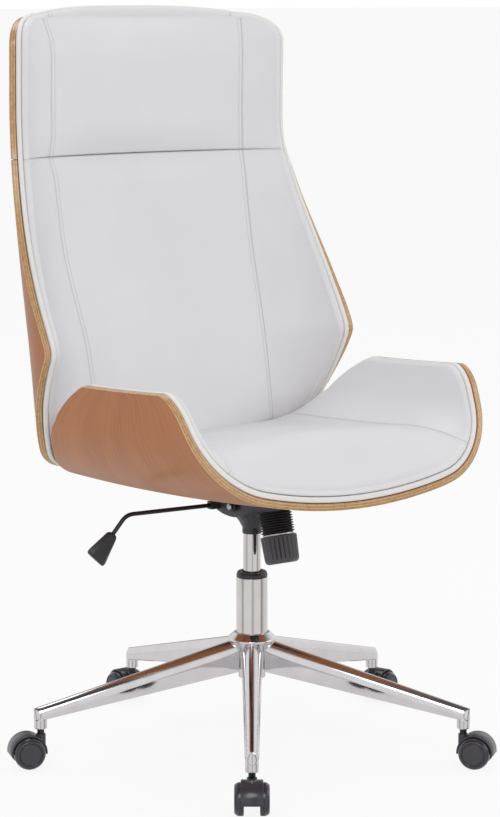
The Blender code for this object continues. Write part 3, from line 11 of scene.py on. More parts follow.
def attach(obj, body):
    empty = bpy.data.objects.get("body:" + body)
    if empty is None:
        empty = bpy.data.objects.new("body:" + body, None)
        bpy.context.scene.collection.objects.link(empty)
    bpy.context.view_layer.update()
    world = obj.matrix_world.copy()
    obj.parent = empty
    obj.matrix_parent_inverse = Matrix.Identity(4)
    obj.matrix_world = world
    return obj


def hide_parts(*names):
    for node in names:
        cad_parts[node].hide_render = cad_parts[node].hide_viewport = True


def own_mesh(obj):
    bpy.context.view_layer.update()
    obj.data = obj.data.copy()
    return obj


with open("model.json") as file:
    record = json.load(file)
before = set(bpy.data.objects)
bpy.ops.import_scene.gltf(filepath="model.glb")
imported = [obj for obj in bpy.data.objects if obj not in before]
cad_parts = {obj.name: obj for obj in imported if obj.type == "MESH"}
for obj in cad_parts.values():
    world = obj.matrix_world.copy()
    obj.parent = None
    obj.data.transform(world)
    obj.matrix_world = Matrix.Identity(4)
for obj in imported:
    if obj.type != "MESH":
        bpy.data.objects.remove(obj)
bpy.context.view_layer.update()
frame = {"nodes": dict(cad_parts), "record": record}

COLUMN_Y = -0.0334
ARM_TURNS = {
    "front_right": -36.0,
    "front_left": 36.0,
    "side_right": -108.0,
    "side_left": 108.0,
    "rear": 180.0,
}

# Seat shell, by the arc length across it from its middle
SEAT_PLY = 0.011
SEAT_HEIGHT = 0.4235
SEAT_SLOPE = -0.044
SEAT_SAG = 0.0078
SEAT_SAG_SPAN = 0.28
SEAT_MIDDLE_RADIUS = 0.762
SEAT_MIDDLE_HALF = 0.178
SEAT_CORNER_RADIUS = 0.141
SEAT_WALL_ANGLE = 80.5
SEAT_GIRTH = 0.405
SEAT_SEAM = 0.258
SEAT_FRONT = -0.285
SEAT_SWEEP = 0.0941
SEAT_SWEEP_START = 0.150
SEAT_SWEEP_POWER = 1.65
SEAT_REAR_LINE = 0.464
SEAT_WING_CORNER = 0.040
SEAT_WING_CORNER_RUN = 0.024
SEAT_TO_BACK = 0.002
SEAT_REAR_BLEND = 0.015
SEAT_REAR_SWELL = 0.016
SEAT_SWELL_START = 0.27
SEAT_SWELL_RUN = 0.125
SEAT_PAST_BACK = 0.285
SEAT_PAST_RATE = 0.5

# Back shells, by the arc length across them from their middle
BACK_PLY = 0.0105
BACK_SPINE = (
    (0.4300, 0.2800),
    (0.4900, 0.2835),
    (0.5700, 0.2945),
    (0.6500, 0.3070),
    (0.7300, 0.3220),
    (0.8000, 0.3345),
    (0.8720, 0.3460),
    (0.9200, 0.3530),
    (0.9600, 0.3580),
    (1.0100, 0.3605),
    (1.1000, 0.3590),
    (1.1900, 0.3570),
)
BACK_MIDDLE_RADIUS = 0.55
BACK_MIDDLE_HALF = 0.2003
BACK_CORNER_RADIUS = 0.147
BACK_SEAM = 0.207
BACK_BOTTOM = 0.4405
BACK_FACE_Z = 0.450
BACK_TOP = 0.9425
BACK_OUTLINE = (
    (0.4405, 0.2540),
    (0.5405, 0.3206),
    (0.6235, 0.3775),
    (0.6455, 0.3895),
    (0.6700, 0.3860),
    (0.7368, 0.3600),
    (0.8580, 0.3155),
    (BACK_TOP, 0.2922),
)
BACK_PLY_SHY = 0.005
BACK_CORNER = (0.080, 0.052)
PANEL_GAP = 0.0025
SPLIT = 0.0014
CREASE_REACH = 0.0038
CREASE_SHARE = 0.5
HEADREST_TOP = 1.1745
HEADREST_GIRTH = 0.2875
HEADREST_FLARE = 0.0045
HEADREST_FLARE_RUN = 0.045
HEADREST_CORNER = (0.083, 0.049)
HEADREST_CROWN = 0.0115
LINER = 0.010
LINER_GAP = 0.0009
BOARD = 0.0088

# Cushions, whose heights stand over the liner
PAD_INSET = 0.0035
PAD_ROUND = 0.008
PAD_EDGE = 0.009
SEAT_PAD_HEIGHT = 0.079
SEAT_PAD_TAPER = 0.09
SEAT_PAD_POWER = 1.8
SEAT_PAD_NOSE = 0.13
PAD_REAR = 0.190
PAD_REAR_BOW = 0.027
PAD_FOOT_FADE = 0.540
BACK_PAD_HEIGHTS = (
    (0.4455, 0.123),
    (0.4945, 0.120),
    (0.5775, 0.090),
    (0.6735, 0.068),
    (0.7855, 0.045),
    (0.8555, 0.042),
    (BACK_TOP, 0.044),
)
HEADREST_PAD_HEIGHT = 0.049


# Numbers and curves

def clamp(value, low=0.0, high=1.0):
    return min(high, max(low, value))


def ease(t):
    t = clamp(t)
    return t * t * (3 - 2 * t)


def along(table, at):
    """A smooth curve through the rows of a table, read at one value."""
    last = len(table) - 1
    step = 0
    while step < last - 1 and at > table[step + 1][0]:
        step += 1
    x0, y0 = table[step]
    x1, y1 = table[step + 1]
    before = table[max(step - 1, 0)]
    after = table[min(step + 2, last)]
    slope0 = (y1 - before[1]) / (x1 - before[0])
    slope1 = (after[1] - y0) / (after[0] - x0)
    t = (at - x0) / (x1 - x0)
    h = x1 - x0
    return (
        (2 * t**3 - 3 * t**2 + 1) * y0
        + (t**3 - 2 * t**2 + t) * h * slope0
        + (3 * t**2 - 2 * t**3) * y1
        + (t**3 - t**2) * h * slope1
    )


def soft_min(a, b, blend):
    h = clamp(0.5 + 0.5 * (b - a) / blend)
    return b + (a - b) * h - blend * h * (1 - h)


def round_cut(into):
    """How far a quarter ellipse has turned in, from 0 to 1."""
    return 1 - math.sqrt(max(0.0, 1 - clamp(into) ** 2))


# Materials

def hexed(red, green, blue):
    """A colour given as it looks on screen, 0 to 255, turned to scene values."""
    made = []
    for value in (red, green, blue):
        value /= 255.0
        made.append(value / 12.92 if value <= 0.04045 else ((value + 0.055) / 1.055) ** 2.4)
    return (*made, 1.0)


class Nodes:
    """A node tree whose nodes are added one at a time."""

    def __init__(self, tree):
        self.tree = tree

    def node(self, kind, **settings):
        made = self.tree.nodes.new(kind)
        for key, value in settings.items():
            setattr(made, key, value)
        return made

    def link(self, a, b):
        self.tree.links.new(a, b)

    def feed(self, socket, value):
        """Sets a socket to a value, or links another socket to it."""
        if isinstance(value, (int, float, tuple)):
            socket.default_value = value
        else:
            self.link(value, socket)

    def maths(self, operation, a, b):
        made = self.node("ShaderNodeMath", operation=operation)
        self.feed(made.inputs[0], a)
        self.feed(made.inputs[1], b)
        return made.outputs[0]

    def mapped(self, value, low, high, start=0.0, end=1.0):
        made = self.node("ShaderNodeMapRange")
        made.inputs["From Min"].default_value = start
        made.inputs["From Max"].default_value = end
        made.inputs["To Min"].default_value = low
        made.inputs["To Max"].default_value = high
        self.link(value, made.inputs["Value"])
        return made.outputs["Result"]

    def ramp(self, value, stops, constant=False):
        made = self.node("ShaderNodeValToRGB")
        ramp = made.color_ramp
        if constant:
            ramp.interpolation = "CONSTANT"
        ramp.elements[0].position, ramp.elements[0].color = stops[0]
        ramp.elements[1].position, ramp.elements[1].color = stops[-1]
        for position, colour in stops[1:-1]:
            ramp.elements.new(position).color = colour
        self.link(value, made.inputs["Fac"])
        return made.outputs["Color"]

    def mix(self, factor, a, b, blend="MIX"):
        made = self.node("ShaderNodeMix", data_type="RGBA", blend_type=blend)
        self.feed(made.inputs["Factor"], factor)
        self.feed(made.inputs["A"], a)
        self.feed(made.inputs["B"], b)
        return made.outputs["Result"]

    def mix_shaders(self, factor, a, b):
        made = self.node("ShaderNodeMixShader")
        for socket, value in zip(made.inputs, (factor, a, b)):
            self.feed(socket, value)
        return made.outputs["Shader"]

    def rays(self):
        """Two factors: for what the camera sees, also through clear pieces, and for gloss."""
        path = self.node("ShaderNodeLightPath")
        seen = self.maths("MAXIMUM", path.outputs["Is Camera Ray"], path.outputs["Is Transmission Ray"])
        return seen, path.outputs["Is Glossy Ray"]


class Paint(Nodes):
    """A material built round its Principled shader."""

    def __init__(self, name):
        self.made = bpy.data.materials.new(name)
        self.made.use_nodes = True
        super().__init__(self.made.node_tree)
        self.shader = self.tree.nodes["Principled BSDF"]

    def fixed(self, **values):
        for key, value in values.items():
            self.shader.inputs[key.replace("_", " ")].default_value = value

    def linked(self, colour, roughness):
        self.link(colour, self.shader.inputs["Base Color"])
        self.link(roughness, self.shader.inputs["Roughness"])

    def coordinates(self, source, scale):
        place = self.node("ShaderNodeTexCoord")
        mapping = self.node("ShaderNodeMapping")
        mapping.inputs["Scale"].default_value = scale
        self.link(place.outputs[source], mapping.inputs["Vector"])
        return mapping.outputs["Vector"]

    def noise(self, vector, scale, detail=3.0, roughness=0.5):
        made = self.node("ShaderNodeTexNoise")
        made.inputs["Scale"].default_value = scale
        made.inputs["Detail"].default_value = detail
        made.inputs["Roughness"].default_value = roughness
        self.link(vector, made.inputs["Vector"])
        return made.outputs["Fac"]

    def bump(self, height, strength, distance):
        made = self.node("ShaderNodeBump")
        made.inputs["Strength"].default_value = strength
        made.inputs["Distance"].default_value = distance
        self.link(height, made.inputs["Height"])
        if self.shader.inputs["Normal"].is_linked:
            self.link(self.shader.inputs["Normal"].links[0].from_socket, made.inputs["Normal"])
        self.link(made.outputs["Normal"], self.shader.inputs["Normal"])
        return self


def veneer_material():
    paint = Paint("beech_veneer")
    figure = paint.noise(paint.coordinates("UV", (1.1, 9.0, 1.0)), 1.0, 3.0, 0.5)
    pores = paint.noise(paint.coordinates("UV", (9.0, 260.0, 1.0)), 1.0, 3.0, 0.6)
    tone = paint.ramp(figure, ((0.25, hexed(170, 104, 58)), (0.5, hexed(180, 115, 68)),
                               (0.75, hexed(190, 126, 80))))
    flecks = paint.ramp(pores, ((0.36, hexed(216, 208, 200)), (0.56, hexed(255, 255, 255))))
    colour = paint.mix(0.40, tone, flecks, "MULTIPLY")
    paint.linked(colour, paint.mapped(figure, 0.34, 0.46))
    paint.fixed(Coat_Weight=0.08, Coat_Roughness=0.2, IOR=1.4)
    return paint.bump(pores, 0.12, 0.0002).made


def edge_material():
    """The cut edge of plywood: thin layers whose grain turns by turns, from the stored depth."""
    paint = Paint("plywood_edge")
    depth = paint.node("ShaderNodeAttribute", attribute_name="ply")
    light = hexed(214, 178, 130)
    mid = hexed(190, 148, 102)
    dark = hexed(120, 82, 52)
    layers = paint.ramp(depth.outputs["Fac"], (
        (0.0, mid), (0.10, dark), (0.13, light), (0.29, dark), (0.32, mid), (0.48, dark), (0.51, light),
        (0.67, dark), (0.70, mid), (0.87, dark), (0.90, light)), True)
    streak = paint.noise(paint.coordinates("Object", (60.0, 60.0, 60.0)), 3.0, 4.0)
    colour = paint.mix(0.4, layers, paint.ramp(streak, ((0.35, hexed(190, 170, 150)),
                                                        (0.6, hexed(255, 250, 244)))), "MULTIPLY")
    paint.link(colour, paint.shader.inputs["Base Color"])
    paint.fixed(Roughness=0.34, Coat_Weight=0.4, Coat_Roughness=0.15)
    return paint.bump(streak, 0.1, 0.0003).made


def leather_material(name, shade):
    """Fine-grained leather, with shade painted into its colour where the stored "seam" says that it
    dips.
    """
    paint = Paint(name)
    grain = paint.node("ShaderNodeTexVoronoi", feature="F1")
    grain.inputs["Scale"].default_value = 620.0
    place = paint.coordinates("Object", (1.0, 1.0, 1.0))
    paint.link(place, grain.inputs["Vector"])
    cloud = paint.noise(place, 5.0, 3.0)
    fine = paint.noise(place, 260.0, 2.0)
    tone = paint.ramp(cloud, ((0.3, hexed(*[v - 5 for v in shade])), (0.7, hexed(*shade))))
    # Painted shade: the colour darkens to 0.72 of the leather's in the seams' valleys and along their
    # stitched lines, as much as the stored "seam" says
    seam = paint.node("ShaderNodeAttribute", attribute_name="seam")
    colour = paint.mix(seam.outputs["Fac"], tone, hexed(*[v * 0.72 for v in shade]))
    paint.linked(colour, paint.mapped(fine, 0.40, 0.55))
    paint.fixed(IOR=1.45, Sheen_Weight=0.04)
    paint.bump(grain.outputs["Distance"], 0.22, 0.00035)
    return paint.bump(fine, 0.10, 0.0003).made


def metal_material(name, shade, low, high, swirl=40.0, metallic=1.0):
    paint = Paint(name)
    place = paint.coordinates("Object", (1.0, 1.0, 1.0))
    marks = paint.noise(place, swirl, 4.0)
    tone = paint.ramp(marks, ((0.3, hexed(*[v - 8 for v in shade])), (0.7, hexed(*shade))))
    paint.linked(tone, paint.mapped(marks, low, high))
    paint.fixed(Metallic=metallic)
    return paint.bump(marks, 0.02, 0.0003).made


def moulded_material(name, shade, low, high, texture=900.0, strength=0.15):
    paint = Paint(name)
    place = paint.coordinates("Object", (1.0, 1.0, 1.0))
    spark = paint.noise(place, texture, 2.0)
    cloud = paint.noise(place, 30.0, 3.0)
    tone = paint.ramp(cloud, ((0.3, hexed(*[v * 0.9 for v in shade])), (0.7, hexed(*shade))))
    paint.linked(tone, paint.mapped(cloud, low, high))
    return paint.bump(spark, strength, 0.0002).made


VENEER = veneer_material()
EDGE = edge_material()
LEATHER = leather_material("white_leather", (224, 223, 225))
PIPING = leather_material("white_leather_edge", (232, 230, 228))
CHROME = metal_material("polished_aluminium", (214, 211, 213), 0.05, 0.10)
BRIGHT = metal_material("chromed_steel", (212, 208, 205), 0.07, 0.12)
ZINC = metal_material("zinc_plated_steel", (190, 190, 192), 0.26, 0.38, 120.0)
BLACK_STEEL = metal_material("black_coated_steel", (34, 34, 38), 0.30, 0.42, 200.0, 0.2)
CASTING = moulded_material("painted_casting", (58, 58, 64), 0.34, 0.46, 700.0, 0.2)
GREY_PLASTIC = moulded_material("dark_grey_plastic", (60, 58, 66), 0.16, 0.26)
KNOB_PLASTIC = moulded_material("ribbed_grey_plastic", (80, 80, 85), 0.34, 0.44)
BLACK_PLASTIC = moulded_material("black_plastic", (40, 40, 44), 0.34, 0.44)
RUBBER = moulded_material("black_rubber", (24, 24, 27), 0.50, 0.62)
SLOT_OF = {
    VENEER: "walnut", EDGE: "walnut", LEATHER: "leather", PIPING: "leather",
    CHROME: "chrome", BRIGHT: "chrome", ZINC: "steel", BLACK_STEEL: "black_steel", CASTING: "casting",
    GREY_PLASTIC: "grey_plastic", KNOB_PLASTIC: "grey_plastic", BLACK_PLASTIC: "black_plastic",
    RUBBER: "rubber",
}


# Pieces

def piece(name, mesh, body, *materials, angle=35.0, replaces=()):
    """Adds a mesh drawn in the row frame as a piece of the object."""
    thing = bpy.data.objects.new(name, mesh)
    bpy.context.scene.collection.objects.link(thing)
    for material in materials:
        mesh.materials.append(material)
    mesh.shade_smooth()
    mesh.set_sharp_from_angle(angle=math.radians(angle))
    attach(thing, body)
    if replaces:
        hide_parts(*replaces)
    return thing


def mesh_of(name, points, faces, turn=None):
    """A closed mesh with outward faces, moved from the column's axis to the row frame."""
    mesh = bpy.data.meshes.new(name)
    mesh.from_pydata([tuple(p) for p in points], [], faces)
    if turn is not None:
        mesh.transform(turn)
    mesh.transform(Matrix.Translation((0.0, COLUMN_Y, 0.0)))
    work = bmesh.new()
    work.from_mesh(mesh)
    bmesh.ops.recalc_face_normals(work, faces=work.faces)
    work.to_mesh(mesh)
    work.free()
    return mesh


def revolved(name, profile, sides=64, turn=None, start=0.0):
    """A closed solid of revolution about Z; a profile point on the axis becomes a pole."""
    points = []
    rings = []
    for radius, height in profile:
        if radius == 0.0:
            rings.append([len(points)] * sides)
            points.append((0.0, 0.0, height))
            continue
        rings.append(list(range(len(points), len(points) + sides)))
        for side in range(sides):
            angle = start + 2 * math.pi * side / sides
            points.append((radius * math.cos(angle), radius * math.sin(angle), height))
    pairs = list(zip(rings, rings[1:]))
    if profile[0][0] > 0.0:
        pairs.append((rings[-1], rings[0]))
    faces = []
    for low, high in pairs:
        for side in range(sides):
            after = (side + 1) % sides
            corner = [low[side], low[after], high[after], high[side]]
            face = [p for at, p in enumerate(corner) if p not in corner[:at]]
            if len(face) > 2:
                faces.append(tuple(face))
    return mesh_of(name, points, faces, turn)


def lofted(name, sections, turn=None):
    count = len(sections[0])
    points = [p for section in sections for p in section]
    faces = [tuple(range(count)), tuple(range(len(points) - count, len(points)))]
    for step in range(len(sections) - 1):
        low = step * count
        for at in range(count):
            after = (at + 1) % count
            faces.append((low + at, low + after, low + count + after, low + count + at))
    return mesh_of(name, points, faces, turn)


def rounded(profile, radius, steps=4):
    """The profile with each of its inner corners turned into a small arc."""
    made = [profile[0]]
    for before, here, after in zip(profile, profile[1:], profile[2:]):
        a, b, c = Vector(before), Vector(here), Vector(after)
        reach = min(radius, (a - b).length * 0.45, (c - b).length * 0.45)
        start = b + (a - b).normalized() * reach
        end = b + (c - b).normalized() * reach
        for step in range(steps + 1):
            t = step / steps
            made.append(tuple(start * (1 - t) ** 2 + b * 2 * t * (1 - t) + end * t * t))
    made.append(profile[-1])
    return made


def bevelled(thing, width, segments=2, angle=40.0):
    made = thing.modifiers.new("soft_edges", "BEVEL")
    made.width = width
    made.segments = segments
    made.limit_method = "ANGLE"
    made.angle_limit = math.radians(angle)
    made.harden_normals = True
    return thing


# Bent sheets

def sheet(name, rows, columns, place, rim, unwrap, painted_seam_shade=None):
    """A closed sheet between two grids, with rings of points round its edge.

    place(row, column, inset, lift) gives a point, rim is the rings from one face to the other as
    (inset, lift), and unwrap(row, column) gives a place in metres for grain to follow.
    The last argument, given a column, says how much shade is painted on the columns at a seam.
    """
    last = rows - 1
    border = [(0, c) for c in range(-columns, columns)]
    border += [(r, columns) for r in range(last)]
    border += [(last, c) for c in range(columns, -columns, -1)]
    border += [(r, -columns) for r in range(last, 0, -1)]
    points = []
    depth = []
    shade = []
    grain = []
    faces = []
    slots = []
    first_lift = rim[0][1] if not callable(rim[0][1]) else 0.0
    last_lift = rim[-1][1] if not callable(rim[-1][1]) else 1.0
    span = (last_lift - first_lift) or 1.0

    def put(r, c, ring):
        inset, lift = ring
        value = lift(r, c) if callable(lift) else lift
        points.append(place(r, c, inset, value))
        depth.append((value - first_lift) / span)
        # painted shade at the seams, one value per point
        shade.append(painted_seam_shade(c) if painted_seam_shade else 0.0)
        grain.append(unwrap(r, c))
        return len(points) - 1

    def grid(ring):
        index = {(r, c): put(r, c, ring) for r in range(rows) for c in range(-columns, columns + 1)}
        for r in range(last):
            for c in range(-columns, columns):
                faces.append((index[r, c], index[r, c + 1], index[r + 1, c + 1], index[r + 1, c]))
                slots.append(0)
        return [index[key] for key in border]

    loops = [grid(rim[0])]
    for ring in rim[1:-1]:
        loops.append([put(r, c, ring) for r, c in border])
    loops.append(grid(rim[-1]))
    for low, high in zip(loops, loops[1:]):
        for at in range(len(border)):
            after = (at + 1) % len(border)
            faces.append((low[at], low[after], high[after], high[at]))
            slots.append(1)
    mesh = bpy.data.meshes.new(name)
    mesh.from_pydata([tuple(p + Vector((0.0, COLUMN_Y, 0.0))) for p in points], [], faces)
    for polygon, slot in zip(mesh.polygons, slots):
        polygon.material_index = slot
    mesh.attributes.new("ply", "FLOAT", "POINT").data.foreach_set("value", depth)
    # The "seam" attribute holds painted shade for the seams' valleys and stitched lines
    mesh.attributes.new("seam", "FLOAT", "POINT").data.foreach_set("value", shade)
    layer = mesh.uv_layers.new(name="UVMap")
    for loop in mesh.loops:
        layer.data[loop.index].uv = grain[loop.vertex_index]
    work = bmesh.new()
    work.from_mesh(mesh)
    bmesh.ops.recalc_face_normals(work, faces=work.faces)
    work.to_mesh(mesh)
    work.free()
    return mesh


def seat_section(s):
    tangent = math.asin(SEAT_MIDDLE_HALF / SEAT_MIDDLE_RADIUS)
    middle = SEAT_MIDDLE_RADIUS * tangent
    wall = math.radians(SEAT_WALL_ANGLE)
    corner = SEAT_CORNER_RADIUS * (wall - tangent)
    if s <= middle:
        angle = s / SEAT_MIDDLE_RADIUS
        return SEAT_MIDDLE_RADIUS * math.sin(angle), SEAT_MIDDLE_RADIUS * (1 - math.cos(angle)), angle
    angle = tangent + min(s - middle, corner) / SEAT_CORNER_RADIUS
    x = SEAT_MIDDLE_HALF + SEAT_CORNER_RADIUS * (math.sin(angle) - math.sin(tangent))
    z = SEAT_MIDDLE_RADIUS * (1 - math.cos(tangent))
    z += SEAT_CORNER_RADIUS * (math.cos(tangent) - math.cos(angle))
    straight = max(0.0, s - middle - corner)
    return x + straight * math.cos(wall), z + straight * math.sin(wall), angle


def seat_place(s, y, lift):
    x, z, angle = seat_section(abs(s))
    run = SEAT_SLOPE * y - SEAT_SAG * (1 - (y / SEAT_SAG_SPAN) ** 2)
    x -= lift * math.sin(angle)
    z += lift * math.cos(angle)
    return Vector((math.copysign(x, s), y, SEAT_HEIGHT + z + run))


def wing_cut(s, inset):
    wide = SEAT_WING_CORNER - inset
    into = (s - (SEAT_GIRTH - inset - wide)) / wide
    return (SEAT_WING_CORNER_RUN - inset * 0.6) * round_cut(into)


def seat_front(s, inset):
    reach = SEAT_GIRTH - SEAT_SWEEP_START
    swept = max(0.0, s - SEAT_SWEEP_START) / reach
    slope = SEAT_SWEEP * SEAT_SWEEP_POWER * swept ** (SEAT_SWEEP_POWER - 1) / reach
    front = SEAT_FRONT + SEAT_SWEEP * swept**SEAT_SWEEP_POWER
    return front + inset * math.hypot(1.0, slope) + wing_cut(s, inset)


def halved(below, low, high):
    """The value up to which below(value) holds, found by halving."""
    for _ in range(30):
        middle = (low + high) / 2
        if below(middle):
            low = middle
        else:
            high = middle
    return low


def back_face_y(x):
    """Where the liner's face stands at a distance from the middle, just over the seat."""
    g = halved(lambda at: back_place(at, BACK_FACE_Z, LINER).x < x, 0.0, BACK_OUTLINE[2][1])
    return back_place(g, BACK_FACE_Z, LINER).y


def seat_rear(s, inset):
    swell = SEAT_REAR_SWELL * math.sin(math.pi * clamp((s - SEAT_SWELL_START) / SEAT_SWELL_RUN))
    sloped = SEAT_REAR_LINE - s - inset * 1.414 + swell
    square = back_face_y(seat_section(s)[0]) - SEAT_TO_BACK - inset
    square += SEAT_PAST_RATE * max(0.0, s - SEAT_PAST_BACK)
    return soft_min(sloped, square, SEAT_REAR_BLEND) - wing_cut(s, inset)


def back_place(g, z, lift):
    tangent = math.asin(BACK_MIDDLE_HALF / BACK_MIDDLE_RADIUS)
    middle = BACK_MIDDLE_RADIUS * tangent
    side = abs(g)
    angle = min(side, middle) / BACK_MIDDLE_RADIUS
    x = BACK_MIDDLE_RADIUS * math.sin(angle)
    y = along(BACK_SPINE, z) - BACK_MIDDLE_RADIUS * (1 - math.cos(angle))
    if side > middle:
        angle = tangent + (side - middle) / BACK_CORNER_RADIUS
        x += BACK_CORNER_RADIUS * (math.sin(angle) - math.sin(tangent))
        y -= BACK_CORNER_RADIUS * (math.cos(tangent) - math.cos(angle))
    x -= lift * math.sin(angle)
    y -= lift * math.cos(angle)
    return Vector((math.copysign(x, g), y, z))


def back_girth(z):
    return along(BACK_OUTLINE, z)


def headrest_girth(z):
    return HEADREST_GIRTH + HEADREST_FLARE * max(0.0, 1 - (z - BACK_TOP) / HEADREST_FLARE_RUN) ** 2


def whole_girth(z):
    """Half girth of the liner, which runs the height of both panels."""
    blend = ease((z - BACK_TOP + 0.010) / 0.020)
    low = back_girth(min(z, BACK_TOP))
    return low + (headrest_girth(max(z, BACK_TOP)) - low) * blend


SEAT_STEPS = 56
SEAT_ROWS = 64


def spread(steps, corner):
    """Shares from 0 to 1 that crowd together towards the end, where an edge turns a corner."""
    made = []
    for step in range(steps + 1):
        t = step / steps
        if t < 0.6:
            made.append(t / 0.6 * (1 - corner))
        else:
            made.append(1 - corner * (1 - math.sin((t - 0.6) / 0.4 * math.pi / 2)))
    return made


SEAT_SHARES = spread(SEAT_STEPS, 0.14)
STITCH_OFFSET = 0.0070
SEAM_INNER = 12
SEAM_OUTER = 14
SEAM_OFFSETS = (-0.0130, -0.0100, -0.0088, -0.0078, -0.0070, -0.0062, -0.0052, -0.0040, -0.0028, -0.0018,
                -0.0009, 0.0, 0.0009, 0.0018, 0.0028, 0.0042, 0.0065, 0.0100)


def seamed_columns(seam, edge):
    """Places of a cushion's columns, from its middle to its edge and close together at its seam."""
    first = seam + SEAM_OFFSETS[0]
    last = seam + SEAM_OFFSETS[-1]
    made = [first * step / SEAM_INNER for step in range(SEAM_INNER)]
    made += [seam + offset for offset in SEAM_OFFSETS]
    for step in range(1, SEAM_OUTER + 1):
        t = step / SEAM_OUTER
        made.append(last + (edge - last) * (1 - (1 - t) ** 1.5))
    return made


CUSHION_COLUMNS = len(seamed_columns(0.2, 0.4)) - 1


def painted_seam_shade(column):
    """How much shade is painted on a cushion's column: most in the seam's valley, less on the stitched
    line.
    """
    at = abs(column) - SEAM_INNER
    if not 0 <= at < len(SEAM_OFFSETS):
        return 0.0
    offset = SEAM_OFFSETS[at]
    stitched = offset + STITCH_OFFSET
    return 0.55 * math.exp(-((offset / 0.0011) ** 2)) + 0.35 * math.exp(-((stitched / 0.0008) ** 2))


def seat_sheet(name, rim, rear=seat_rear, seamed=False):
    def place(row, column, inset, lift):
        if seamed:
            s = seamed_columns(SEAT_SEAM, SEAT_GIRTH - inset)[abs(column)]
        else:
            s = (SEAT_GIRTH - inset) * SEAT_SHARES[abs(column)]
        front = seat_front(s, inset)
        t = 0.5 - 0.5 * math.cos(math.pi * row / (SEAT_ROWS - 1))
        t = 0.35 * t + 0.65 * row / (SEAT_ROWS - 1)
        y = front + (rear(s, inset) - front) * t
        return seat_place(math.copysign(s, column), y, lift)

    def flat(row, column):
        s = SEAT_GIRTH * SEAT_SHARES[min(abs(column), SEAT_STEPS)]
        return math.copysign(s, column), 0.5 * row / (SEAT_ROWS - 1)

    columns = CUSHION_COLUMNS if seamed else SEAT_STEPS
    # a sewn cushion gets painted shade at its seams
    return sheet(name, SEAT_ROWS, columns, place, rim, flat, painted_seam_shade if seamed else None)


class Panel:
    """A panel of the back: its heights, its half girth at each and its rounded corners."""

    columns = 34

    def __init__(self, low, high, girth, foot=None, head=None, crown=0.0):
        self.low = low
        self.high = high
        self.girth = girth
        self.foot = foot
        self.head = head
        self.crown = crown
        self.low_share = 1.0
        self.high_share = 1.0
        self.side_shy = 0.0
        self.seamed = False
        self.shares = spread(self.columns, 0.12)
        straight = round((high - low) / 0.009)
        self.rows = [("foot", a) for a in range(12)] if foot else []
        self.rows += [("run", a / straight) for a in range(straight + 1)]
        self.rows += [("head", a) for a in range(1, 13)] if head else []

    def height(self, row, inset):
        kind, at = self.rows[row]
        low = self.low + inset * self.low_share
        high = self.high - inset * self.high_share
        foot = self.foot[1] - inset if self.foot else 0.0
        head = self.head[1] - inset if self.head else 0.0
        if kind == "foot":
            return low + foot * (1 - math.cos(math.pi / 2 * at / 12))
        if kind == "head":
            return high - head * (1 - math.sin(math.pi / 2 * at / 12))
        return low + foot + (high - head - low - foot) * at

    def reach(self, z, inset):
        """Half girth at a height, drawn in square to the outline."""
        slope = (self.girth(z + 0.002) - self.girth(z - 0.002)) / 0.004
        wide = self.girth(z) - (inset + self.side_shy) * math.hypot(1.0, slope)
        if self.foot:
            tall = self.foot[1] - inset
            into = 1 - (z - self.low - inset * self.low_share) / tall
            wide -= (self.foot[0] - inset) * round_cut(into)
        if self.head:
            tall = self.head[1] - inset
            into = 1 - (self.high - inset * self.high_share - z) / tall
            wide -= (self.head[0] - inset) * round_cut(into)
        return wide

    def station(self, row, column, inset):
        z = self.height(row, inset)
        wide = self.reach(z, inset)
        if self.seamed:
            g = seamed_columns(self.seam(row), wide)[abs(column)]
        else:
            g = wide * self.shares[abs(column)]
        if self.crown:
            tall = self.head[1] * 1.6
            lifted = ease((z - self.high + tall) / tall)
            z += self.crown * lifted * (1 - (g / wide) ** 3)
        return math.copysign(g, column), z, wide

    def seam(self, row):
        inset = PAD_INSET + PAD_ROUND
        wide = self.reach(self.height(row, inset), inset)
        return soft_min(BACK_SEAM, wide - 0.016 if self.head else 0.8 * wide, 0.01)

    def sheet(self, name, rim, floor_of=None):
        def place(row, column, inset, lift):
            g, z, _ = self.station(row, column, inset)
            if floor_of:
                z = floor_of(abs(g), z)
            return back_place(g, z, lift)

        def flat(row, column):
            g, z, _ = self.station(row, column, 0.0)
            return z, g

        columns = CUSHION_COLUMNS if self.seamed else self.columns
        # a sewn cushion gets painted shade at its seams
        shade = painted_seam_shade if self.seamed else None
        return sheet(name, len(self.rows), columns, place, rim, flat, shade)


def quarter(steps):
    """A quarter turn in steps, as pairs of 1 - sine and 1 - cosine."""
    turns = [math.pi / 2 * step / steps for step in range(steps + 1)]
    return [(1 - math.sin(turn), 1 - math.cos(turn)) for turn in turns]


def ply_rim(inner, outer, soft=0.0012):
    """Rings from the inner face to the outer face of a board with eased edges."""
    way = math.copysign(1.0, outer - inner)
    rim = [(soft * a, inner + way * soft * b) for a, b in quarter(3)]
    rim += [(0.0, inner + (outer - inner) * share) for share in (0.25, 0.5, 0.75)]
    return rim + [(soft * b, outer - way * soft * a) for a, b in quarter(3)]


def roll_rim(low, high, inset, soft):
    """Rings of a leather-wrapped board whose edges are rolled."""
    rim = [(inset + soft * a, low + soft * b) for a, b in quarter(5)]
    return rim + [(inset + soft * b, high - soft * a) for a, b in quarter(5)]


def groove(distance, depth, width):
    return depth * math.exp(-((distance / width) ** 2))


SEAM_DEPTH = 0.0017
STITCH_DEPTH = 0.0009


def seam_sink(distance):
    """A seam's valley and the shallower line that its topstitching presses beside it."""
    sink = groove(distance, SEAM_DEPTH, 0.0018) + groove(distance, 0.0012, 0.009)
    return sink + groove(distance + STITCH_OFFSET, STITCH_DEPTH, 0.0013)


def ripple(place, size, height):
    return height * noise.noise(Vector(place) / size)


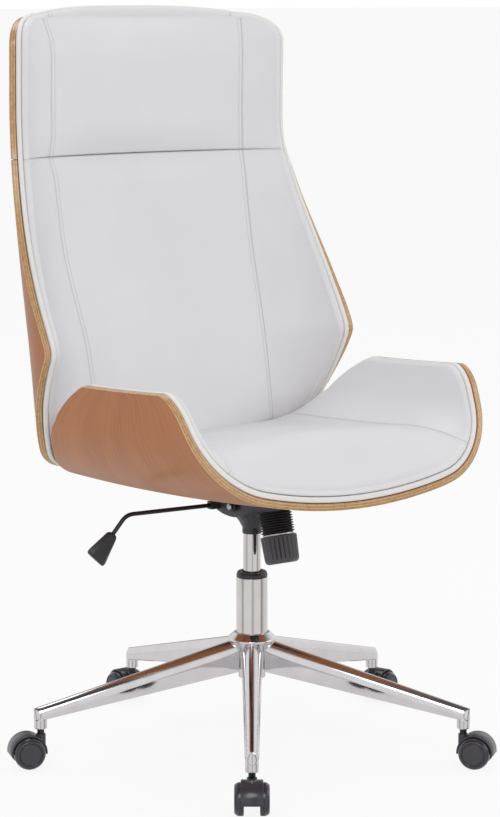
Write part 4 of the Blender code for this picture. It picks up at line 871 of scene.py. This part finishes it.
def cushion_rim(foot, base, rise, steps=6):
    """Rings of a cushion from its tucked foot over a rounded edge to its top, rise(row, column)."""

    def ring(share):
        turn = math.pi / 2 * share

        def lift(row, column):
            return base + (rise(row, column) - base) * (0.25 + 0.75 * math.sin(turn))

        return PAD_INSET + PAD_ROUND * (1 - math.cos(turn)), lift

    return foot + [ring(step / steps) for step in range(steps)] + [(PAD_INSET + PAD_ROUND, rise)]


# Seat

def make_seat():
    shell = seat_sheet("seat_plywood", ply_rim(SEAT_PLY, 0.0))
    piece("seat_plywood", shell, "seat", VENEER, EDGE, angle=50, replaces=("seat_shell",))

    low = SEAT_PLY + LINER_GAP
    top = SEAT_PLY + LINER
    board = seat_sheet("seat_board", roll_rim(low, top, 0.0008, 0.0028))
    piece("seat_board", board, "seat", PIPING, angle=60, replaces=("seat_liner",))

    base = top + 0.0008
    whole = SEAT_GIRTH - PAD_INSET - PAD_ROUND

    def rise(row, column):
        s = seamed_columns(SEAT_SEAM, whole)[abs(column)]
        front = seat_front(s, PAD_INSET)
        rear = pad_rear(s, PAD_INSET)
        y = front + (rear - front) * row / (SEAT_ROWS - 1)
        crown = (1 - (s / SEAT_GIRTH) ** 2) ** SEAT_PAD_POWER
        nose = 1 - (1 - clamp((y - front) / SEAT_PAD_NOSE)) ** 2
        tail = ease((rear - y) / 0.03)
        height = SEAT_PAD_HEIGHT - SEAT_PAD_TAPER * y
        lift = PAD_EDGE + (height - PAD_EDGE) * crown * nose * (0.8 + 0.2 * tail)
        lift -= seam_sink(s - SEAT_SEAM) * ease((y - front) / 0.02)
        return base + lift + ripple((math.copysign(s, column), y, 0.3), 0.07, 0.0007)

    foot = [(PAD_INSET + 0.002, base), (PAD_INSET, base + 0.0015)]
    pad = seat_sheet("seat_cushion", cushion_rim(foot, base, rise), pad_rear, True)
    cushion = piece("seat_cushion", pad, "seat", LEATHER, angle=80, replaces=("seat_pad",))


def pad_rear(s, inset):
    behind = PAD_REAR + PAD_REAR_BOW * min(1.0, (s / SEAT_SEAM) ** 2)
    return soft_min(behind - inset, seat_rear(s, inset), SEAT_REAR_BLEND)


# Back

def seat_cover_height(x, y):
    lift = SEAT_PLY + LINER
    s = halved(lambda at: seat_place(at, y, lift).x < x, 0.0, SEAT_GIRTH)
    return seat_place(s, y, lift).z


def back_pad_floor(g, z):
    """Height of a point of the back cushion, lifted near its foot to rest on the seat's cover."""
    if z >= PAD_FOOT_FADE:
        return z
    x = back_place(g, z, 0.0).x
    wanted = seat_cover_height(x, 0.2) + 0.004
    beside = 1 - 0.85 * ease((g - 0.19) / 0.06)
    return z + (wanted - BACK_BOTTOM) * beside * (PAD_FOOT_FADE - z) / (PAD_FOOT_FADE - BACK_BOTTOM)


def make_cushion(name, panel, base, height_at, replaced, floor_of=None):
    """A cushion over a panel: crowned, drawn in at its two seams, tucked in at its edges."""

    def rise(row, column):
        g, z, wide = panel.station(row, column, PAD_INSET + PAD_ROUND)
        side = abs(g)
        crown = 1 - (side / wide) ** 2
        lift = PAD_EDGE + max(0.0, height_at(z) - PAD_EDGE) * crown
        lift -= seam_sink(side - panel.seam(row))
        return base + lift + ripple((g, z, 0.7), 0.08, 0.0007)

    foot = [(PAD_INSET + 0.0012, BOARD + 0.0003), (PAD_INSET - 0.0006, BOARD + 0.0018)]
    made = panel.sheet(name, cushion_rim(foot, base, rise), floor_of)
    cushion = piece(name, made, "seat", LEATHER, angle=80, replaces=replaced)
    return cushion


def make_back():
    lower = Panel(BACK_BOTTOM, BACK_TOP, back_girth, foot=BACK_CORNER)
    upper = Panel(BACK_TOP + SPLIT, HEADREST_TOP, headrest_girth, head=HEADREST_CORNER,
                  crown=HEADREST_CROWN)
    whole = Panel(BACK_BOTTOM, HEADREST_TOP, whole_girth, foot=BACK_CORNER, head=HEADREST_CORNER,
                  crown=HEADREST_CROWN)
    lower.side_shy = BACK_PLY_SHY
    upper.side_shy = BACK_PLY_SHY
    upper.high = HEADREST_TOP - BACK_PLY_SHY
    piece("back_plywood", lower.sheet("back_plywood", ply_rim(0.0, -BACK_PLY)), "seat", VENEER, EDGE,
          angle=50, replaces=("back_shell",))
    piece("headrest_plywood", upper.sheet("headrest_plywood", ply_rim(0.0, -BACK_PLY)), "seat", VENEER,
          EDGE, angle=50, replaces=("headrest_shell",))
    board = whole.sheet("back_board", roll_rim(LINER_GAP, BOARD, 0.0008, 0.0028))
    piece("back_board", board, "seat", PIPING, angle=60, replaces=("back_liner",))

    for panel in (lower, upper):
        panel.side_shy = 0.0
        panel.seamed = True
    upper.high = HEADREST_TOP
    lower.high = BACK_TOP + CREASE_REACH
    upper.low = BACK_TOP + PANEL_GAP - CREASE_REACH
    lower.high_share = CREASE_SHARE
    upper.low_share = CREASE_SHARE

    def back_height(z):
        into = clamp((BACK_TOP - z) / 0.045)
        return along(BACK_PAD_HEIGHTS, z) * (1 - 0.35 * (1 - into) ** 2)

    def headrest_height(z):
        top = clamp((HEADREST_TOP - z) / 0.085)
        foot = clamp((z - BACK_TOP) / 0.060)
        return 1.06 * HEADREST_PAD_HEIGHT * (1 - (1 - top) ** 2.4) * (1 - 0.42 * (1 - foot) ** 2)

    make_cushion("back_cushion", lower, LINER + 0.0018, back_height, ("back_pad",), back_pad_floor)
    make_cushion("headrest_cushion", upper, LINER + 0.0011, headrest_height, ("headrest_pad",))


# Base, column and casters

ARM_REACH = 0.350
ARM_ROOT = 0.030
ARM_END_WIDTH = 0.0212
ARM_ARCH = 24


def arm_section(r, width=1.0, inner=0.0, floor=None):
    share = (r - ARM_ROOT) / (ARM_REACH - ARM_ROOT)
    half = (0.0335 + (ARM_END_WIDTH - 0.0335) * min(1.0, share)) / 2 * width
    top = 0.1800 + (0.0954 - 0.1800) * share - inner
    crease = 0.1567 + (0.0799 - 0.1567) * share
    low = 0.1285 + (0.0746 - 0.1285) * share if floor is None else floor
    foot = 0.0012 if floor is None else 0.0
    foot_half = half * 0.92 - inner
    points = [(-foot_half + foot, -r, low), (foot_half - foot, -r, low)]
    if foot:
        points.append((foot_half, -r, low + foot))
    for step in range(ARM_ARCH + 1):
        turn = math.pi * step / ARM_ARCH
        points.append(((half - inner) * math.cos(turn), -r, crease + (top - crease) * math.sin(turn)))
    if foot:
        points.append((-foot_half, -r, low + foot))
    return points


def cut(thing, tool):
    """Takes the tool's shape out of a piece, and the tool out of the scene."""
    made = thing.modifiers.new("cut", "BOOLEAN")
    made.operation = "DIFFERENCE"
    made.solver = "EXACT"
    made.object = tool
    bpy.context.view_layer.update()
    graph = bpy.context.evaluated_depsgraph_get()
    result = bpy.data.meshes.new_from_object(thing.evaluated_get(graph))
    thing.modifiers.clear()
    thing.data = result
    result.shade_smooth()
    result.set_sharp_from_angle(angle=math.radians(35))
    bpy.data.objects.remove(tool)
    return thing


def make_base():
    hub = rounded([
        (0.0, 0.1166), (0.0215, 0.1166), (0.0215, 0.1334), (0.0310, 0.1334), (0.0325, 0.1349),
        (0.0325, 0.1640), (0.0345, 0.1725), (0.0390, 0.1788), (0.0390, 0.1812), (0.0285, 0.1910),
        (0.0254, 0.1910), (0.0254, 0.1800), (0.0, 0.1800),
    ], 0.0012)
    piece("base_hub", revolved("base_hub", hub), "base", CHROME, replaces=("star_base",))
    post = rounded([
        (0.0, 0.0605), (0.0101, 0.0605), (0.0101, 0.0760), (0.0096, 0.0768), (0.0096, 0.0835),
        (0.0, 0.0835),
    ], 0.0008)
    for place, angle in ARM_TURNS.items():
        turn = Matrix.Rotation(math.radians(angle), 4, "Z")
        stations = [(0.027 + (ARM_REACH - 0.027) * step / 14, 1.0) for step in range(15)]
        for step in range(1, 8):
            round_off = math.radians(86.0 * step / 7)
            stations.append((ARM_REACH + ARM_END_WIDTH / 2 * math.sin(round_off), math.cos(round_off)))
        sections = [arm_section(r, max(width, 0.12)) for r, width in stations]
        arm = piece("base_arm_" + place, lofted("base_arm", sections, turn), "base", CHROME)
        channel = lofted("channel", [arm_section(0.046, 1.0, 0.0035, 0.05),
                                     arm_section(0.325, 1.0, 0.0035, 0.05)], turn)
        tool = bpy.data.objects.new("channel", channel)
        bpy.context.scene.collection.objects.link(tool)
        cut(arm, tool)
        seated = turn @ Matrix.Translation((0.0, -ARM_REACH, 0.0))
        piece("base_post_" + place, revolved("post", post, 32, seated), "base", CHROME)


def make_column():
    tube = rounded([
        (0.0, 0.1400), (0.025, 0.1400), (0.025, 0.2810), (0.0230, 0.2810), (0.0230, 0.2500),
        (0.0, 0.2500),
    ], 0.0006)
    piece("outer_tube", revolved("outer_tube", tube), "base", BRIGHT, replaces=("column_tube",))
    collar = rounded([
        (0.0143, 0.2260), (0.0227, 0.2260), (0.0227, 0.2813), (0.0249, 0.2813), (0.0249, 0.2862),
        (0.0228, 0.2900), (0.0180, 0.2900), (0.0172, 0.2886), (0.0143, 0.2886),
    ], 0.0008)
    piece("tube_collar", revolved("tube_collar", collar), "base", BLACK_PLASTIC,
          replaces=("guide_collar",))
    head = 0.3524 + 0.0203 - 0.0003
    cylinder = rounded([
        (0.0, head + 0.018), (0.004, head + 0.018), (0.004, head), (0.014, head), (0.014, 0.210),
        (0.0105, 0.210), (0.0105, head - 0.0275), (0.0, head - 0.0275),
    ], 0.0006)
    piece("lift_cylinder", revolved("lift_cylinder", cylinder), "lift", BRIGHT,
          replaces=("gas_cylinder",))


WHEEL_RADIUS = 0.025
WHEEL_INSIDE = 0.012
WHEEL_OUTSIDE = 0.0268
CASTER_TRAIL = 0.0218


def wheel_profile():
    tread = WHEEL_RADIUS
    out = WHEEL_OUTSIDE
    return rounded([
        (0.0, out - 0.0004), (0.0166, out - 0.0004), (0.0174, out - 0.0018), (0.0184, out - 0.0018),
        (0.0194, out - 0.0003), (0.0215, out - 0.0008), (tread - 0.0012, out - 0.0040),
        (tread, out - 0.0066),
        (tread, WHEEL_INSIDE + 0.0012), (tread - 0.0012, WHEEL_INSIDE), (0.0032, WHEEL_INSIDE),
        (0.0032, out - 0.0036), (0.0, out - 0.0036),
    ], 0.0010, 3)


def wheel_arc(radius, start, end, steps):
    """Points across the caster round its wheels' centre, between two angles in degrees."""
    made = []
    for step in range(steps + 1):
        turn = math.radians(start + (end - start) * step / steps)
        made.append((-CASTER_TRAIL + radius * math.cos(turn), WHEEL_RADIUS + radius * math.sin(turn)))
    return made


def band_sections(outline, half, soft):
    """The hood's outline at stations across it, drawn in a little at both faces."""
    middle = Vector((-CASTER_TRAIL, WHEEL_RADIUS))
    sections = []
    for x, shrink in ((-half, soft), (-half + soft * 0.4, soft * 0.3), (-half + soft, 0.0),
                      (half - soft, 0.0), (half - soft * 0.4, soft * 0.3), (half, soft)):
        ring = []
        for at, (y, z) in enumerate(outline):
            here = Vector((y, z)) - middle
            if at < len(outline) // 2:
                here *= (here.length - shrink) / here.length
            here += middle
            ring.append((x, here.x, here.y))
        sections.append(ring)
    return sections


def make_casters():
    inner = WHEEL_RADIUS + 0.0019
    outer = inner + 0.0021
    band = wheel_arc(outer, -6.0, 186.0, 28) + wheel_arc(inner, 186.0, -6.0, 28)
    web = wheel_arc(inner + 0.001, 0.0, 180.0, 28) + wheel_arc(0.0085, 180.0, 360.0, 12)
    boss = rounded([(0.0, 0.0303), (0.0078, 0.0303), (0.0078, 0.0515), (0.0058, 0.0515),
                    (0.0058, 0.0340), (0.0, 0.0340)], 0.0006)
    stem = rounded([(0.0, 0.0343), (0.0055, 0.0343), (0.0055, 0.0868), (0.0, 0.0868)], 0.001)
    for place, angle in ARM_TURNS.items():
        seated = Matrix.Rotation(math.radians(angle), 4, "Z")
        seated @= Matrix.Translation((0.0, -ARM_REACH, 0.0))
        body = "caster_" + place
        sections = band_sections(band, 0.0168, 0.0010)
        piece(place + "_hood", lofted("hood", sections, seated), body, GREY_PLASTIC,
              replaces=(place + "_caster_hood",))
        ribs = [[(x, y, z) for y, z in web] for x in (-0.0095, 0.0095)]
        piece(place + "_web", lofted("web", ribs, seated), body, GREY_PLASTIC)
        piece(place + "_boss", revolved("boss", boss, 40, seated), body, GREY_PLASTIC)
        piece(place + "_stem", revolved("stem", stem, 32, seated), body, BLACK_STEEL,
              replaces=(place + "_caster_stem",))
        for side, way in (("left", 1.0), ("right", -1.0)):
            turn = Vector((way, 0.0, 0.0)).to_track_quat("Z", "Y").to_matrix().to_4x4()
            spot = seated @ Matrix.Translation((0.0, -CASTER_TRAIL, WHEEL_RADIUS)) @ turn
            name = f"{place}_wheel_{side}"
            piece(place + "_tyre_" + side, revolved("tyre", wheel_profile(), 72, spot), name,
                  GREY_PLASTIC, angle=30, replaces=(name,))


# Tilt mechanism

def bolt_frame():
    return Matrix.Translation((0.0, -0.061, 0.397)) @ Matrix.Rotation(-math.radians(15.0), 4, "X")


def make_knob():
    top = -0.0362 - 0.0003 - 0.002 - 0.0003
    length = 0.0445
    count = 192
    sections = []
    stations = ((0.0, 0.93, 0.0), (0.015, 0.975, 0.0), (0.045, 0.998, 0.3), (0.08, 1.0, 1.0),
                (0.80, 1.0, 1.0), (0.86, 0.995, 0.4), (0.91, 0.975, 0.0), (0.95, 0.94, 0.0),
                (0.98, 0.88, 0.0), (1.0, 0.80, 0.0))
    for share, scale, flute in stations:
        ring = []
        radius = (0.0290 - 0.0018 * share) * scale
        for side in range(count):
            turn = 2 * math.pi * side / count
            sunk = flute * 0.0026 * (0.5 - 0.5 * math.cos(turn * 24)) ** 3
            r = radius - sunk
            ring.append((r * math.cos(turn), r * math.sin(turn), top - length * share))
        sections.append(ring)
    piece("ribbed_knob", lofted("ribbed_knob", sections, bolt_frame()), "knob", KNOB_PLASTIC,
          replaces=("tension_knob",))


def make_boot():
    ribs = 9
    length = 0.0362
    profile = [(0.0215, -0.0003)]
    for rib in range(ribs):
        start = -0.0003 - (length - 0.0003) * rib / ribs
        pitch = (length - 0.0003) / ribs
        for share, radius in ((0.0, 0.0258), (0.12, 0.0268), (0.30, 0.0270), (0.45, 0.0266),
                              (0.55, 0.0246), (0.70, 0.0236), (0.88, 0.0238)):
            profile.append((radius, start - pitch * share))
    profile += [(0.0262, -length), (0.0215, -length)]
    boot = piece("ribbed_boot", revolved("ribbed_boot", profile, 56, bolt_frame()), "lift", RUBBER,
                 replaces=("spring_boot",))
    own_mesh(boot)


def lever_line():
    inner = Vector((-0.036, 0.399))
    bush_end = Vector((-0.066, 0.399))
    bend = Vector((-0.220, 0.4018))
    knee = Vector((-0.2451, 0.3742))
    tip = Vector((-0.2788, 0.3378))
    before = bend + (bush_end - bend).normalized() * 0.013
    after = bend + (knee - bend).normalized() * 0.013
    line = [inner, bush_end, before]
    for step in range(1, 10):
        t = step / 10
        line.append(before * (1 - t) ** 2 + bend * 2 * t * (1 - t) + after * t**2)
    line += [after, knee, knee + (tip - knee) * 0.3]
    return line


def make_lever():
    line = lever_line()
    sections = []
    for at, here in enumerate(line):
        ahead = (line[min(at + 1, len(line) - 1)] - line[max(at - 1, 0)]).normalized()
        across = Vector((-ahead.y, ahead.x))
        ring = []
        for side in range(20):
            turn = 2 * math.pi * side / 20
            offset = across * 0.0034 * math.cos(turn)
            ring.append((here.x + offset.x, 0.030 + 0.0034 * math.sin(turn), here.y + offset.y))
        sections.append(ring)
    piece("lever_arm", lofted("lever_arm", sections), "lever", BLACK_STEEL, replaces=("lever_rod",))

    knee = Vector((-0.2451, 0.3742))
    tip = Vector((-0.2788, 0.3378))
    ahead = (tip - knee).normalized()
    length = (tip - knee).length
    across = Vector((-ahead.y, ahead.x))
    stations = ((-0.01, 0.52, 0.55), (0.0, 0.62, 0.66), (0.03, 0.86, 0.88), (0.07, 0.97, 0.98),
                (0.12, 1.0, 1.0), (0.80, 1.0, 1.0), (0.90, 0.985, 0.93), (0.96, 0.95, 0.80),
                (0.99, 0.88, 0.62), (1.0, 0.80, 0.5))
    corners = ((1.0, 0.30), (0.66, 1.0), (-0.66, 1.0), (-1.0, 0.30),
               (-1.0, -0.30), (-0.66, -1.0), (0.66, -1.0), (1.0, -0.30))
    sections = []
    for share, wide, thick in stations:
        here = knee + ahead * length * share
        width = (0.0165 + (0.0405 - 0.0165) * max(0.0, share) ** 0.9) * wide / 2
        depth = 0.013 * thick / 2
        ring = []
        for a, b in corners:
            edge = here + across * (width * a)
            ring.append((edge.x, 0.030 + depth * b, edge.y))
        sections.append(ring)
    paddle = piece("lever_paddle", lofted("lever_paddle", sections), "lever", BLACK_PLASTIC,
                   replaces=("lever_handle",))
    bevelled(paddle, 0.0011, 3, 20.0)


def dress_cad():
    """Gives each CAD node that still shows the finish of what it is."""
    finish = {slot: material for material, slot in reversed(SLOT_OF.items())}
    slots = {row["node"]: row["material_slot"] for row in frame["record"]["subparts"]}
    for name, node in frame["nodes"].items():
        if node.hide_render:
            continue
        for at in range(len(node.material_slots)):
            node.material_slots[at].link = "OBJECT"
            node.material_slots[at].material = finish[slots[name]]


# Stage, lights and camera

FLOOR_REACH = 200.0
FLOOR_WHITE = 0.88
FLOOR_OPEN = 0.7
BACKGROUND = 1.0
AMBIENT = 0.62
# Brightness of the mirrored walls by the share of a turn, from -180 degrees
WALL_GAPS = (
    (0.02, 1.0), (0.13, 1.0), (0.17, 0.35), (0.20, 1.0), (0.32, 1.0), (0.36, 0.12), (0.42, 0.9),
    (0.60, 1.0), (0.66, 0.25), (0.72, 0.95), (0.90, 1.0), (0.95, 0.30), (0.99, 1.0),
)
# Mirrored ceiling by the height of the ray
CEILING = ((0.50, (1.0, 1.0, 1.0, 1.0)), (0.80, (0.16, 0.15, 0.15, 1.0)))
LAMPS = (
    ("key", (-2.6, -3.4, 3.2), (0.0, 0.0, 0.7), 2.4, 62.0),
    ("fill", (3.4, -2.6, 2.2), (0.0, 0.0, 0.7), 2.6, 30.0),
    ("top", (0.3, 1.2, 3.6), (0.0, 0.0, 0.6), 2.0, 26.0),
)


def make_stage():
    """A floor that keeps the chair's shadow, shows near white, and lets gloss see the studio's walls."""
    floor = bpy.data.meshes.new("floor")
    r = FLOOR_REACH
    floor.from_pydata([(-r, -r, 0.0), (r, -r, 0.0), (r, r, 0.0), (-r, r, 0.0)], [], [(0, 1, 2, 3)])
    thing = bpy.data.objects.new("floor", floor)
    bpy.context.scene.collection.objects.link(thing)
    paint = Paint("pale_floor")
    paint.fixed(Base_Color=(0.86, 0.86, 0.86, 1.0), Roughness=0.9, Specular_IOR_Level=0.1)
    seen, gloss = paint.rays()
    glow = paint.node("ShaderNodeEmission")
    glow.inputs["Strength"].default_value = BACKGROUND
    white = paint.maths("MULTIPLY", seen, FLOOR_WHITE)
    whitened = paint.mix_shaders(white, paint.shader.outputs["BSDF"], glow.outputs["Emission"])
    clear = paint.node("ShaderNodeBsdfTransparent")
    open_share = paint.maths("MULTIPLY", gloss, FLOOR_OPEN)
    opened = paint.mix_shaders(open_share, whitened, clear.outputs["BSDF"])
    paint.link(opened, paint.tree.nodes["Material Output"].inputs["Surface"])
    floor.materials.append(paint.made)


def make_world():
    """Even light, a white background, and in gloss a studio with dark gaps and a dark ceiling."""
    world = bpy.data.worlds.new("studio")
    bpy.context.scene.world = world
    world.use_nodes = True
    sky = Nodes(world.node_tree)

    def lit(background, strength):
        background.inputs["Color"].default_value = (1.0, 1.0, 1.0, 1.0)
        background.inputs["Strength"].default_value = strength
        return background

    light = lit(sky.tree.nodes["Background"], AMBIENT)
    shown = lit(sky.node("ShaderNodeBackground"), BACKGROUND)
    mirrored = lit(sky.node("ShaderNodeBackground"), BACKGROUND)
    parts = sky.node("ShaderNodeSeparateXYZ")
    sky.link(sky.node("ShaderNodeTexCoord").outputs["Generated"], parts.inputs["Vector"])
    about = sky.maths("ARCTAN2", parts.outputs["Y"], parts.outputs["X"])
    walls = sky.ramp(sky.mapped(about, 0.0, 1.0, -math.pi, math.pi),
                     [(at, (value, value, value, 1.0)) for at, value in WALL_GAPS])
    ceiling = sky.ramp(parts.outputs["Z"], CEILING)
    sky.link(sky.mix(1.0, walls, ceiling, "MULTIPLY"), mirrored.inputs["Color"])
    seen, gloss = sky.rays()
    around = sky.mix_shaders(gloss, light.outputs["Background"], mirrored.outputs["Background"])
    mixed = sky.mix_shaders(seen, around, shown.outputs["Background"])
    sky.link(mixed, sky.tree.nodes["World Output"].inputs["Surface"])


def make_lamp(name, place, target, size, power):
    lamp = bpy.data.lights.new(name, "AREA")
    lamp.shape = "DISK"
    lamp.size = size
    lamp.energy = power
    thing = bpy.data.objects.new(name, lamp)
    bpy.context.scene.collection.objects.link(thing)
    thing.location = place
    thing.rotation_euler = (Vector(target) - Vector(place)).to_track_quat("-Z", "Y").to_euler()


def make_camera():
    lens = bpy.data.cameras.new("camera")
    lens.lens = 118.79
    lens.sensor_width = 36.0
    lens.shift_x = (250.0 - 251.96) / 817.0
    camera = bpy.data.objects.new("camera", lens)
    bpy.context.scene.collection.objects.link(camera)
    camera.location = (-2.4864, -3.4222 + COLUMN_Y, 1.2022)
    camera.rotation_euler = (math.radians(90.0 - 8.724), 0.0, math.radians(-36.0))
    bpy.context.scene.camera = camera


make_camera()
make_seat()
make_back()
make_base()
make_column()
make_casters()
make_knob()
make_boot()
make_lever()
dress_cad()
make_stage()
make_world()
for lamp_row in LAMPS:
    make_lamp(*lamp_row)
bpy.context.scene.view_settings.view_transform = "Standard"
